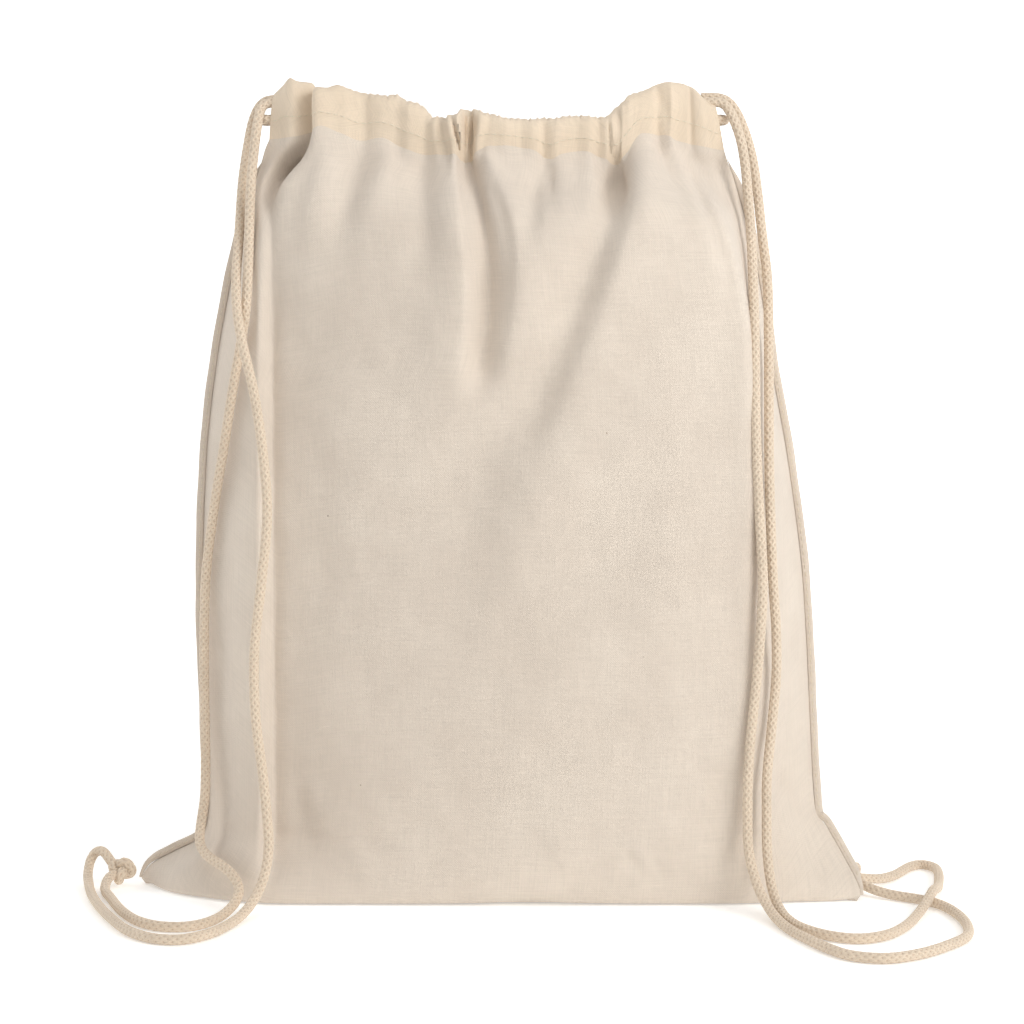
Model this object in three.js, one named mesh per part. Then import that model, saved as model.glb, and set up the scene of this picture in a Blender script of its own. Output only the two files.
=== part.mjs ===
// Drawstring backpack: an unlined cotton sack, stood up filled out square, with a gathered
// mouth and two cord loops for shoulder straps.
// Units are millimetres. +Z is up, the front of the bag faces -Y, +X is to the wearer's right
// as seen from the front. The origin is on the floor, midway between the bag's outer faces.

import * as THREE from 'three';

// ---- Driving dimensions -------------------------------------------------------------------

const CLOTH = 1.6;            // thickness given to the cloth
const GAP = 0.3;              // clearance kept between touching pieces
const FACE_CROWN = 1.2;       // how far the middle of each face bulges
const CORD = 4.5;             // cord diameter
const RIM = 4;                // width of the side seams' sewn rim
const EAR = 168.5;            // middle of the bag to where the panels end at the bottom corners
const MOUTH_LEFT = -107;      // left end of the casings
const MOUTH_RIGHT = 102;      // right end of the casings
const CASING_HEIGHT = 25;     // height of the cord tunnel
const CASING_WALL = 1.0;      // cloth around the tunnel
const CASING_LEVEL = 368.5;   // height of the tunnel's middle at its two ends
const MOUTH_SAG = 13;         // how far the middle of the mouth hangs below its ends
const ROW_OFFSET = 5;         // a cord lies this far above or below the tunnel's middle at its ends
const KNOT = 13;              // size of the knots that tie the cords at the corners
const TURN_REACH = 4.2;       // how far a cord's turn stands out past the end of the casings
const STITCH = 0.8;           // thickness of a row of stitching

// ---- Shared helpers -----------------------------------------------------------------------

const group = new THREE.Group();

// Adds one named piece with its own material.
function add(name, geometry, colour, roughness) {
  const material = new THREE.MeshStandardMaterial({ color: colour, roughness, metalness: 0 });
  const mesh = new THREE.Mesh(geometry, material);
  mesh.name = name;
  group.add(mesh);
}

const COTTON = 0xe4d8c4;
const HEM = 0xead9c2;
const CORD_COLOUR = 0xe6d4b8;
const THREAD = 0xeee4d2;

const lerp = THREE.MathUtils.lerp;
const smooth = (x, low, high) => THREE.MathUtils.smoothstep(x, low, high);

// Builds an indexed geometry from a flat list of points and triangles.
function indexed(points, triangles) {
  const geometry = new THREE.BufferGeometry();
  geometry.setAttribute('position', new THREE.Float32BufferAttribute(points.flat(), 3));
  geometry.setIndex(triangles.flat());
  return outward(geometry);
}

// Turns every face round when the enclosed volume comes out negative.
function outward(geometry) {
  const position = geometry.getAttribute('position');
  const index = geometry.getIndex().array;
  const [a, b, c] = [new THREE.Vector3(), new THREE.Vector3(), new THREE.Vector3()];
  let volume = 0;
  for (let i = 0; i < index.length; i += 3) {
    a.fromBufferAttribute(position, index[i]);
    b.fromBufferAttribute(position, index[i + 1]);
    c.fromBufferAttribute(position, index[i + 2]);
    volume += a.dot(b.cross(c));
  }
  if (volume < 0) {
    for (let i = 0; i < index.length; i += 3) {
      [index[i], index[i + 1]] = [index[i + 1], index[i]];
    }
  }
  return geometry;
}

// Closes two equal grids of points, an outer and an inner skin, into one sheet of cloth.
function sheet(outer, inner) {
  const rows = outer.length;
  const columns = outer[0].length;
  const skin = rows * columns;
  const at = (r, c, side) => side * skin + r * columns + c;
  const triangles = [];
  const quad = (p, q, r, s) => triangles.push([p, q, r], [p, r, s]);
  for (let r = 0; r < rows - 1; r += 1) {
    for (let c = 0; c < columns - 1; c += 1) {
      quad(at(r, c, 0), at(r, c + 1, 0), at(r + 1, c + 1, 0), at(r + 1, c, 0));
      quad(at(r, c, 1), at(r + 1, c, 1), at(r + 1, c + 1, 1), at(r, c + 1, 1));
    }
  }
  for (let c = 0; c < columns - 1; c += 1) {
    quad(at(0, c, 0), at(0, c, 1), at(0, c + 1, 1), at(0, c + 1, 0));
    quad(at(rows - 1, c, 0), at(rows - 1, c + 1, 0), at(rows - 1, c + 1, 1), at(rows - 1, c, 1));
  }
  for (let r = 0; r < rows - 1; r += 1) {
    quad(at(r, 0, 0), at(r + 1, 0, 0), at(r + 1, 0, 1), at(r, 0, 1));
    quad(at(r, columns - 1, 0), at(r, columns - 1, 1), at(r + 1, columns - 1, 1), at(r + 1, columns - 1, 0));
  }
  return indexed([...outer.flat(), ...inner.flat()], triangles);
}

// Joins a row of equal closed rings of points into one solid, with or without a bore.
function rings(outer, inner) {
  const count = outer.length;
  const sides = outer[0].length;
  const points = inner ? [...outer.flat(), ...inner.flat()] : outer.flat();
  const at = (i, k, side) => side * count * sides + i * sides + (k % sides);
  const triangles = [];
  const quad = (p, q, r, s) => triangles.push([p, q, r], [p, r, s]);
  for (let i = 0; i < count - 1; i += 1) {
    for (let k = 0; k < sides; k += 1) {
      quad(at(i, k, 0), at(i, k + 1, 0), at(i + 1, k + 1, 0), at(i + 1, k, 0));
      if (inner) {
        quad(at(i, k, 1), at(i + 1, k, 1), at(i + 1, k + 1, 1), at(i, k + 1, 1));
      }
    }
  }
  const last = count - 1;
  for (let k = 0; k < sides; k += 1) {
    if (inner) {
      quad(at(0, k, 0), at(0, k, 1), at(0, k + 1, 1), at(0, k + 1, 0));
      quad(at(last, k, 0), at(last, k + 1, 0), at(last, k + 1, 1), at(last, k, 1));
    } else if (k > 1) {
      triangles.push([at(0, 0, 0), at(0, k, 0), at(0, k - 1, 0)]);
      triangles.push([at(last, 0, 0), at(last, k - 1, 0), at(last, k, 0)]);
    }
  }
  return indexed(points, triangles);
}

// A round cord along a smooth curve through the given points.
function cord(points, steps, sides = 10) {
  const curve = new THREE.CatmullRomCurve3(points.map((p) => new THREE.Vector3(...p)), false, 'centripetal');
  const section = new THREE.Shape();
  for (let k = 0; k < sides; k += 1) {
    const angle = (2 * Math.PI * (k + 0.5)) / sides;
    const [x, y] = [(CORD / 2) * Math.cos(angle), (CORD / 2) * Math.sin(angle)];
    if (k === 0) {
      section.moveTo(x, y);
    } else {
      section.lineTo(x, y);
    }
  }
  section.closePath();
  return new THREE.ExtrudeGeometry(section, { steps, bevelEnabled: false, extrudePath: curve });
}

// ---- The mouth's line ---------------------------------------------------------------------

// How far the mouth hangs below its ends, from 0 to 1 across the width.
const hang = (x) => smooth(x, -78, -42) * (1 - smooth(x, 40, 66));

const MOUTH_MIDDLE = (MOUTH_LEFT + MOUTH_RIGHT) / 2;
const MOUTH_REACH = (MOUTH_RIGHT - MOUTH_LEFT) / 2;
const across = (x) => (x - MOUTH_MIDDLE) / MOUTH_REACH;
const bow = (x) => Math.cos((Math.PI / 2) * across(x));

// The tunnel's middle line and half thickness at a place across the mouth, front side as -1.
function tunnel(x, side) {
  return {
    y: side * (5.6 + 10.4 * bow(x)),
    z: CASING_LEVEL - MOUTH_SAG * hang(x),
    half: 3.7 + 2.9 * bow(x) ** 2,
  };
}

// ---- The sack -----------------------------------------------------------------------------

// Levels of the filled sack, from the floor up. depth is the half depth of the faces. left and
// right hold, for each side, the half width of the flat face, and the side seam's distance out
// and height. lean moves the right seam forward, where its bottom corner is pulled to the front,
// and swell rounds the left side out, where its bottom corner spreads on the floor.
const level = (up, depth, left, right, lean = 0, swell = 0) => ({
  up, depth, lean, swell,
  left: { face: left[0], seam: left[1], up: left[2] ?? up },
  right: { face: right[0], seam: right[1], up: right[2] ?? up },
});
const LEVELS = [
  level(0, 49, [106, EAR, 3], [112, EAR, 3], 40, 11),
  level(8, 51.5, [107, 165.5, 9], [114, 167.5, 9], 37, 11),
  level(16, 52, [107, 155, 15.5], [115, 163, 16.5], 28, 9),
  level(27, 52, [106, 140.5, 24], [115, 156, 27], 18, 5),
  level(42, 52, [105, 138], [115, 150.5], 10, 2),
  level(80, 52, [104, 139], [116, 148.5], 4),
  level(140, 52, [103, 140.5], [117, 145.5]),
  level(200, 52, [102, 138.5], [118, 138]),
  level(250, 52, [101, 133], [116, 129]),
  level(290, 51, [99, 125.5], [110, 123]),
  level(318, 47, [95, 118], [101, 115]),
  level(334, 39, [90, 112], [94, 108]),
  level(345, 28, [87, 107.5], [89, 103.5]),
  level(353.5, 18.5, [86, 105, 351], [85, 101, 351]),
];
const MOUTH_FOLD = LEVELS.at(-1).up;
const SHOULDER = 318;         // height where the faces start to close in towards the mouth
const CORNER = 14;            // how much of each side the rounded upright folds take
const FACE_POINTS = 10;       // steps across a flat face

// One level of a panel as a row of points, from the left side seam round the face to the right.
// side is -1 for the front and +1 for the back; inward moves the row in, into the cloth.
function panelRow(at, side, inward) {
  const corner = Math.min(CORNER, at.depth * 0.4);
  const flank = (width, direction) => {
    const lean = direction > 0 ? -at.lean : 0;
    const swell = direction < 0 ? at.swell : 0;
    const seam = [direction * width.seam, lean + side * (GAP + CLOTH - inward), width.up];
    const fold = [direction * (width.face - inward), side * (at.depth - inward), at.up];
    const length = Math.hypot(fold[0] - seam[0], fold[1] - seam[1]);
    const near = 1 - corner / length;
    const out = [direction * Math.abs(fold[1] - seam[1]) / length, side * Math.abs(fold[0] - seam[0]) / length];
    const along = (t) => {
      const [x, y, z] = seam.map((value, i) => lerp(value, fold[i], t));
      const push = swell * 4 * t * (1 - t) - inward * 0.4;
      return [x + out[0] * push, y + out[1] * push, z];
    };
    return [seam, along(near * 0.33), along(near * 0.67), along(near)];
  };
  const left = flank(at.left, -1);
  const right = flank(at.right, 1).reverse();
  const face = [];
  for (let i = 0; i <= FACE_POINTS; i += 1) {
    const t = i / FACE_POINTS;
    const crown = FACE_CROWN * Math.sin(Math.PI * t);
    const x = lerp(-at.left.face + corner, at.right.face - corner, t);
    face.push([x, side * (at.depth + crown - inward), at.up]);
  }
  const neck = smooth(at.up, SHOULDER, MOUTH_FOLD);
  return [...left, ...face, ...right].map(([x, y, z], i, row) => {
    const edge = i === 0 || i === row.length - 1;
    const close = edge ? 1 : lerp(1, tunnel(x, 1).y / tunnel(MOUTH_MIDDLE, 1).y, neck);
    return [x, y * close, z - MOUTH_SAG * neck * hang(x)];
  });
}

// The part of a panel that lies under the sack, from the bottom seam out to the face's foot.
function bottomRows(side, inward) {
  const floor = LEVELS[0];
  const foot = panelRow(floor, side, inward);
  const last = foot.length - 1;
  return [0, 0.34, 0.68].map((share) => foot.map(([x, y], i) => {
    const lean = floor.lean * Math.max(0, (x - floor.right.face) / (EAR - floor.right.face));
    const end = i === 0 || i === last;
    const lift = end ? share * 1.6 : 0;
    return [end ? x * (0.988 + 0.012 * share) : x, lerp(side * GAP - lean, y, share), lift + inward];
  }));
}

function panel(side) {
  const skin = (inward) => {
    const wall = LEVELS.map((at) => panelRow(at, side, inward));
    wall[0] = wall[0].map(([x, y, z]) => [x, y, z + inward]);
    return [...bottomRows(side, inward), ...wall];
  };
  return sheet(skin(0), skin(CLOTH));
}

// The sewn rim that stands out along a side seam. direction is -1 for the left side.
function sideSeam(direction) {
  const thick = 3;
  const place = (at, out) => {
    const width = direction < 0 ? at.left : at.right;
    const lean = direction > 0 ? -at.lean : 0;
    return { x: direction * (width.seam + out), y: lean, z: width.up };
  };
  return rings(LEVELS.map((at) => {
    const [near, far] = [place(at, 2 * GAP), place(at, GAP + RIM)];
    return [
      [near.x, near.y - thick / 2, near.z],
      [far.x, far.y - thick / 2, far.z],
      [far.x, far.y + thick / 2, far.z],
      [near.x, near.y + thick / 2, near.z],
    ];
  }));
}

// A row of stitching along a side seam's rim, on its front.
function seamStitching(direction) {
  const front = -1.5 - GAP;
  return rings(LEVELS.slice(2).map((at) => {
    const width = direction < 0 ? at.left : at.right;
    const lean = direction > 0 ? -at.lean : 0;
    const middle = width.seam + GAP + 1.4;
    return [[-1, -1], [1, -1], [1, 0], [-1, 0]].map(([u, v]) => [
      direction * (middle + (u * STITCH) / 2), lean + front + v * STITCH, width.up,
    ]);
  }));
}

// The seam allowance that lies inside along the bottom seam.
function bottomSeam() {
  const strip = new THREE.BoxGeometry(200, 9, CLOTH);
  strip.translate(0, 0, CLOTH * 1.5 + GAP);
  return strip;
}

// ---- The mouth ----------------------------------------------------------------------------

// Corners of the flattened section, as shares of the half thickness and half height.
const SECTION = [
  [1, 0.55], [0.75, 0.9], [0, 1], [-0.75, 0.9], [-1, 0.55],
  [-1, -0.55], [-0.75, -0.9], [0, -1], [0.75, -0.9], [1, -0.55],
];
const CASING_STEPS = 24;

function stations(steps) {
  return Array.from({ length: steps + 1 }, (_, i) => lerp(MOUTH_LEFT, MOUTH_RIGHT, i / steps));
}

function casing(side) {
  const ring = (x, wall) => {
    const { y, z, half } = tunnel(x, side);
    return SECTION.map(([a, b]) => [x, y + a * (half - wall), z + b * (CASING_HEIGHT / 2 - wall)]);
  };
  const places = stations(CASING_STEPS);
  return rings(places.map((x) => ring(x, 0)), places.map((x) => ring(x, CASING_WALL)));
}

// The row of stitches that closes the tunnel, on its outer face near the lower edge.
function casingStitching(side) {
  return rings(stations(CASING_STEPS).map((x) => {
    const { y, z, half } = tunnel(x, side);
    const face = y + side * (half + GAP);
    const row = z - CASING_HEIGHT * 0.26;
    return [[0, -1], [1, -1], [1, 1], [0, 1]].map(([u, v]) => [x, face + side * u * STITCH, row + (v * STITCH) / 2]);
  }));
}

// The height and depth of a cord inside the tunnel. The left cord (owner -1) leaves at the upper
// left and turns back at the lower right; the right cord is its mirror, and they pass each other
// in the middle.
function runPoint(x, side, owner) {
  const { y, z } = tunnel(x, side);
  const s = Math.sin((Math.PI / 2) * across(x));
  return [x, y + owner * 2.7 * bow(x) ** 2, z + owner * ROW_OFFSET * s];
}

function cordRun(side, owner) {
  const sides = 10;
  return rings(stations(16).map((x) => {
    const [, y, z] = runPoint(x, side, owner);
    return Array.from({ length: sides }, (_, k) => {
      const angle = (2 * Math.PI * (k + 0.5)) / sides;
      return [x, y + (CORD / 2) * Math.cos(angle), z + (CORD / 2) * Math.sin(angle)];
    });
  }));
}

// The turn where a cord comes out of one casing and goes back through the other.
function cordTurn(owner) {
  const [end, out] = owner < 0 ? [MOUTH_RIGHT, 1] : [MOUTH_LEFT, -1];
  const [, y, z] = runPoint(end, 1, owner);
  const from = end + out * 2 * GAP;
  const points = [[0, 1], [0.45, 0.93], [0.85, 0.6], [1, 0], [0.85, -0.6], [0.45, -0.93], [0, -1]]
    .map(([reach, width]) => [from + out * reach * TURN_REACH, y * width, z]);
  return cord(points, 12, 8);
}

// ---- Shoulder cords -----------------------------------------------------------------------

// Each route runs from just outside the casing's end to the knot at the bottom corner. The
// standing part hangs down the side of the sack and swings with the strap; the lying part
// rests on the sack's foot and on the floor.
const LEFT_FRONT = {
  standing: [
    [-111, -5.9, 372.5], [-113.2, -8, 369], [-114.2, -11, 362], [-114.7, -13.2, 352],
    [-115, -16, 338], [-115.3, -18.5, 322], [-115.5, -22.5, 305], [-115.8, -26.7, 288],
    [-116.9, -28.8, 272], [-119.5, -27.3, 257], [-122.8, -25.7, 240], [-127.7, -21.5, 212],
    [-133.3, -15.2, 182], [-137.8, -11, 150], [-139, -10.2, 118], [-139, -10, 88],
    [-138.6, -12, 60], [-138.8, -15, 44],
  ],
  lying: [
    [-138.8, -15.8, 42.6], [-140.3, -21, 31], [-139.6, -29, 24.5], [-134.5, -38.5, 20.5], [-127.5, -48, 18.5],
    [-121.5, -56.5, 15.5], [-118, -64, 11], [-118.8, -72, 7], [-122.6, -83, 3.8],
    [-128.5, -95, 2.5], [-138, -105, 2.5], [-149.5, -104, 2.5], [-160, -94, 2.5],
    [-169.5, -75, 2.5], [-179.3, -45, 2.5], [-185, -25, 3], [-184.4, -11.6, 6.2],
  ],
};
const LEFT_BACK = {
  standing: [
    [-111, 5.6, 373], [-114.5, 5.2, 372.3], [-118.6, 4.2, 367.5], [-121, 2.4, 359],
    [-122, -0.5, 349], [-121.8, -4.8, 337], [-121, -11, 323], [-120.8, -18, 306],
    [-121.3, -26.2, 288], [-120, -33.6, 272], [-117, -38, 257], [-112.5, -43, 240],
    [-107.6, -50, 212], [-105.2, -53.6, 182], [-108.2, -52, 150], [-112, -47, 118],
    [-111.6, -47.6, 88], [-108, -53, 62], [-106, -56, 44],
  ],
  lying: [
    [-106, -56.2, 43.2], [-105, -58.5, 28], [-106.5, -64, 17], [-109.5, -72, 9.5],
    [-114.2, -84, 4], [-119.8, -102, 2.5], [-127, -120, 2.5], [-137, -130, 2.5],
    [-148, -128.5, 2.5], [-160.5, -115.5, 2.5], [-173.5, -87, 2.5], [-186.5, -48, 2.5],
    [-193.5, -18, 3], [-196.5, 0, 6.5], [-195.5, 8, 12.5], [-191, 5.5, 15.5], [-184.9, -2.4, 10.7],
  ],
};
const RIGHT_FRONT = {
  standing: [
    [106, -5.9, 372.5], [108.4, -8, 369], [109.6, -11, 362], [111.6, -12.7, 353],
    [114, -13.8, 342], [116, -16, 329], [117.3, -22.5, 311], [117.2, -35, 290],
    [117.2, -45.5, 266], [117.3, -48.6, 238], [118.2, -50.5, 206], [119.6, -51.8, 178],
    [121, -52.8, 150], [120.2, -53, 128], [118.5, -53.6, 106], [115.8, -55.2, 80], [114.5, -56.3, 60], [114.3, -57, 44],
  ],
  lying: [
    [114.3, -57.2, 43.2], [114.6, -61, 28], [117.5, -69.5, 14.5], [122.3, -83, 5.2],
    [127.3, -106, 2.5], [134.5, -130, 2.5], [141.5, -148, 2.5], [149.5, -160.5, 2.5],
    [162.5, -165, 2.5], [178, -157, 2.5], [194, -139.5, 2.5], [203.7, -124, 2.5],
    [207.8, -101.5, 2.5], [207, -77, 2.5], [202.3, -58, 2.5], [194, -46.5, 2.5],
    [184, -38.5, 2.6], [176, -31.5, 3.6], [171, -25.9, 5.2],
  ],
};
const RIGHT_BACK = {
  standing: [
    [106, 5.6, 374], [110, 5.2, 374], [114.6, 4.2, 368.5], [118, 2.6, 359],
    [120.2, 0, 346], [121.8, -5.5, 330], [123.3, -12.5, 311], [125.2, -20.5, 290],
    [125.3, -28, 267], [124.6, -38.5, 239], [124.3, -45, 206], [125, -46.8, 178],
    [126.3, -46.8, 150], [128, -45.2, 128], [128.4, -43.5, 106], [125.8, -47.8, 80], [123.6, -51.8, 60], [123.4, -53.6, 44],
  ],
  lying: [
    [123.4, -53.8, 43.2], [123.3, -58.5, 27], [124.4, -66.5, 13.5], [126.6, -76.5, 5.5],
    [130, -92, 2.5], [136.4, -112, 2.5], [146.5, -124.5, 2.5], [157, -128.5, 2.5],
    [168.5, -122, 2.5], [178.5, -107, 2.5], [187.5, -86, 3], [195.2, -67, 5.6],
    [200, -54, 7.8], [204.5, -38, 5.8], [208.5, -17, 2.8], [213, 10, 2.5],
    [213.5, 27, 2.5], [208.5, 34.5, 2.5], [202.5, 29.5, 2.5], [191, 7, 2.6], [181, -8.5, 4], [172.6, -15.8, 5.9],
  ],
};
const STEP_LENGTH = CORD * 2.9;

function route(points) {
  const curve = new THREE.CatmullRomCurve3(points.map((p) => new THREE.Vector3(...p)), false, 'centripetal');
  return cord(points, Math.round(curve.getLength() / STEP_LENGTH));
}

// A tied knot, as a slightly flattened ball.
function knot(x, y, z) {
  const profile = Array.from({ length: 9 }, (_, i) => {
    const angle = (Math.PI * i) / 8 - Math.PI / 2;
    const radius = i === 0 || i === 8 ? 0 : (KNOT / 2) * Math.cos(angle);
    return new THREE.Vector2(radius, (KNOT / 2) * 0.98 * Math.sin(angle));
  });
  const ball = new THREE.LatheGeometry(profile, 12);
  ball.rotateX(Math.PI / 2);
  ball.translate(x, y, z);
  return ball;
}

// ---- Assembly -----------------------------------------------------------------------------

for (const [name, side] of [['front', -1], ['back', 1]]) {
  add(`${name}_panel`, panel(side), COTTON, 0.9);
  add(`${name}_casing`, casing(side), HEM, 0.9);
  add(`${name}_casing_stitching`, casingStitching(side), THREAD, 0.7);
}
for (const [name, direction] of [['left', -1], ['right', 1]]) {
  add(`${name}_side_seam`, sideSeam(direction), COTTON, 0.9);
  add(`${name}_seam_stitching`, seamStitching(direction), THREAD, 0.7);
  add(`${name}_cord_front_run`, cordRun(-1, direction), CORD_COLOUR, 0.85);
  add(`${name}_cord_back_run`, cordRun(1, direction), CORD_COLOUR, 0.85);
  add(`${name}_cord_turn`, cordTurn(direction), CORD_COLOUR, 0.85);
}
add('bottom_seam', bottomSeam(), COTTON, 0.9);

const SHOULDER_CORDS = {
  left_front: LEFT_FRONT, left_back: LEFT_BACK, right_front: RIGHT_FRONT, right_back: RIGHT_BACK,
};
for (const [name, { standing, lying }] of Object.entries(SHOULDER_CORDS)) {
  add(`${name}_strap`, route(standing), CORD_COLOUR, 0.85);
  add(`${name}_strap_tail`, route(lying), CORD_COLOUR, 0.85);
}
add('left_knot', knot(-179.6, -6, 7), CORD_COLOUR, 0.85);
add('right_knot', knot(167, -20, 7), CORD_COLOUR, 0.85);

export default group;
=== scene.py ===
"""Drawstring backpack: an unlined cotton sack, stood up filled, with a gathered mouth.

Two braided cotton cords run through the casings at the mouth, hang down the sides as
shoulder straps, and are tied off in knots at the bottom corners. Every size in the tables is
in millimetres and is turned into metres where a mesh is made, except the cords' routes,
which are in metres. The front of the bag faces -Y and +Z is up.
"""

import logging
import math
from dataclasses import dataclass, field
from enum import Enum

import bpy
import numpy as np
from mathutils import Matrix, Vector


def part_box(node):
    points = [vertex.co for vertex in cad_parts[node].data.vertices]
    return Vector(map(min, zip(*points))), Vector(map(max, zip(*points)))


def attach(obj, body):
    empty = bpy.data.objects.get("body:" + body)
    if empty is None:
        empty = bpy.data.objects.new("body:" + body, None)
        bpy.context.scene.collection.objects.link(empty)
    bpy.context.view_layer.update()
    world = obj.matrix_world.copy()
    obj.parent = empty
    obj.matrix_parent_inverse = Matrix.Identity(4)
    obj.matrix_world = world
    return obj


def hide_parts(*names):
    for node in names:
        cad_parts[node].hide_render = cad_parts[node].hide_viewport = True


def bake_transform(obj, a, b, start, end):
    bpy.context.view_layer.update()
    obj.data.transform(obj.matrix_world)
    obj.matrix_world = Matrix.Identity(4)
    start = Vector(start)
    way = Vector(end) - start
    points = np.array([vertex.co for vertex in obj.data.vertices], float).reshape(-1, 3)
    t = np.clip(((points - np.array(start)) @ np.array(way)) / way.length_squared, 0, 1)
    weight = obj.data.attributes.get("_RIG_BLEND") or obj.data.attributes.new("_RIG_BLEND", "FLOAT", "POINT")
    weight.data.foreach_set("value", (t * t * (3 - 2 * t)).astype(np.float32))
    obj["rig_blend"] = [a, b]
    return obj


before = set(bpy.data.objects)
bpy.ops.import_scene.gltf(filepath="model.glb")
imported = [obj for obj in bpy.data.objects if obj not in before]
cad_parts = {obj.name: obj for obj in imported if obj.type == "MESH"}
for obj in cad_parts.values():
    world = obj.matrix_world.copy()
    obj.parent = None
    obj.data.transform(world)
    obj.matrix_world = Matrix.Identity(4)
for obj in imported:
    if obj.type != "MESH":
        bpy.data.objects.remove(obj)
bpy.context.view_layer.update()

logging.basicConfig(level=logging.INFO, format="%(message)s")
LOG = logging.getLogger("backpack")

MM = 0.001
CORD = 0.0045                 # diameter of the cords


class Side(Enum):
    """The front or the back of the sack. The value is the sign of its y."""

    FRONT = -1
    BACK = 1

    @property
    def word(self) -> str:
        """The side's name in lower case."""
        return self.name.lower()


class Hand(Enum):
    """The left or right of the sack, seen from the front. The value is the sign of its x."""

    LEFT = -1
    RIGHT = 1

    @property
    def word(self) -> str:
        """The hand's name in lower case."""
        return self.name.lower()


# ---- Curves and surfaces ---------------------------------------------------------------------


def step(x: np.ndarray, low: float, high: float) -> np.ndarray:
    """Smooth step: 0 below low, 1 above high, 3t^2 - 2t^3 between."""
    t = np.clip((x - low) / (high - low), 0.0, 1.0)
    return t * t * (3.0 - 2.0 * t)


def through(x: np.ndarray, places: np.ndarray, values: np.ndarray) -> np.ndarray:
    """Follows a table without overshooting it, by cubic pieces with limited slopes.

    The slope at each inner entry is the weighted harmonic mean of the two slopes beside it,
    or zero where they differ in sign.

    Args:
        x: where to read the curve.
        places: the table's places, rising.
        values: one row of values for each place.

    Returns:
        One row of values for each x.
    """
    places = np.asarray(places, float)
    values = np.asarray(values, float).reshape(len(places), -1)
    gap = np.diff(places)
    slope = np.diff(values, axis=0) / gap[:, None]
    first, second = 2 * gap[1:] + gap[:-1], gap[1:] + 2 * gap[:-1]
    same = slope[1:] * slope[:-1] > 0
    safe = np.where(same, slope[:-1], 1.0), np.where(same, slope[1:], 1.0)
    mean = (first + second)[:, None] / (first[:, None] / safe[0] + second[:, None] / safe[1])
    tangent = np.zeros_like(values)
    tangent[1:-1] = np.where(same, mean, 0.0)
    tangent[0], tangent[-1] = slope[0], slope[-1]
    x = np.clip(np.asarray(x, float).ravel(), places[0], places[-1])
    i = np.clip(np.searchsorted(places, x, side="right") - 1, 0, len(gap) - 1)
    t = ((x - places[i]) / gap[i])[:, None]
    width = gap[i][:, None]
    return (
        (2 * t**3 - 3 * t**2 + 1) * values[i]
        + (t**3 - 2 * t**2 + t) * width * tangent[i]
        + (3 * t**2 - 2 * t**3) * values[i + 1]
        + (t**3 - t**2) * width * tangent[i + 1]
    )


def follow(x: np.ndarray, table: tuple) -> np.ndarray:
    """Reads a table of (place, value) pairs at every x, in the shape of x."""
    pairs = np.asarray(table, float)
    return through(x, pairs[:, 0], pairs[:, 1]).reshape(np.shape(x))


def soften(grid: np.ndarray, spread: float, axis: int) -> np.ndarray:
    """Blurs a grid of points along one axis with a bell curve, keeping its ends where they are.

    Past each end the grid is carried on by its own mirror image through the end point.

    Args:
        grid: points, with the grid's axes first.
        spread: the bell's standard deviation, in grid steps.
        axis: 0 down the rows or 1 along them.

    Returns:
        The blurred grid.
    """
    moved = np.moveaxis(grid, axis, 0)
    reach = int(3 * spread) + 1
    head = 2 * moved[:1] - moved[reach:0:-1]
    tail = 2 * moved[-1:] - moved[-2 : -reach - 2 : -1]
    padded = np.concatenate([head, moved, tail])
    offsets = np.arange(-reach, reach + 1)
    bell = np.exp(-0.5 * (offsets / spread) ** 2)
    bell /= bell.sum()
    blurred = sum(b * padded[k : k + len(moved)] for k, b in enumerate(bell))
    return np.moveaxis(blurred, 0, axis)


def outward_of(grid: np.ndarray) -> np.ndarray:
    """Unit normals of a grid of points: rows' direction crossed with columns' direction."""
    down = np.gradient(grid, axis=0)
    along = np.gradient(grid, axis=1)
    normal = np.cross(along, down)
    return normal / np.maximum(np.linalg.norm(normal, axis=-1, keepdims=True), 1e-9)


def lengths(points: np.ndarray, axis: int = 0) -> np.ndarray:
    """Distance travelled along a grid's axis up to each point, from 0."""
    steps = np.linalg.norm(np.diff(points, axis=axis), axis=-1)
    pad = [(1, 0) if k == axis else (0, 0) for k in range(steps.ndim)]
    return np.pad(np.cumsum(steps, axis=axis), pad)


def smooth_curve(route: np.ndarray, spacing: float) -> np.ndarray:
    """One smooth curve through a route's points, re-cut into equal steps.

    Each piece between two points is a cubic whose end slopes come from the points on both
    sides, with time counted as the square root of the distance, so it neither loops nor
    cuts corners.

    Args:
        route: the route's points.
        spacing: the length of a step.

    Returns:
        The curve's points.
    """
    route = np.asarray(route, float)
    ends = np.vstack([2 * route[0] - route[1], route, 2 * route[-1] - route[-2]])
    time = np.sqrt(np.linalg.norm(np.diff(ends, axis=0), axis=1))[:, None]
    p0, p1, p2, p3 = ends[:-3], ends[1:-2], ends[2:-1], ends[3:]
    d0, d1, d2 = time[:-2], time[1:-1], time[2:]
    leave = ((p1 - p0) / d0 - (p2 - p0) / (d0 + d1) + (p2 - p1) / d1) * d1
    arrive = ((p2 - p1) / d1 - (p3 - p1) / (d1 + d2) + (p3 - p2) / d2) * d1
    t = np.linspace(0, 1, 24, endpoint=False)[None, :, None]
    dense = (
        (2 * t**3 - 3 * t**2 + 1) * p1[:, None]
        + (t**3 - 2 * t**2 + t) * leave[:, None]
        + (3 * t**2 - 2 * t**3) * p2[:, None]
        + (t**3 - t**2) * arrive[:, None]
    ).reshape(-1, 3)
    dense = np.vstack([dense, route[-1]])
    run = lengths(dense)
    count = max(int(run[-1] / spacing), 8)
    even = np.linspace(0, run[-1], count + 1)
    return np.stack([np.interp(even, run, dense[:, k]) for k in range(3)], axis=1)


# ---- Meshes ----------------------------------------------------------------------------------


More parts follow.
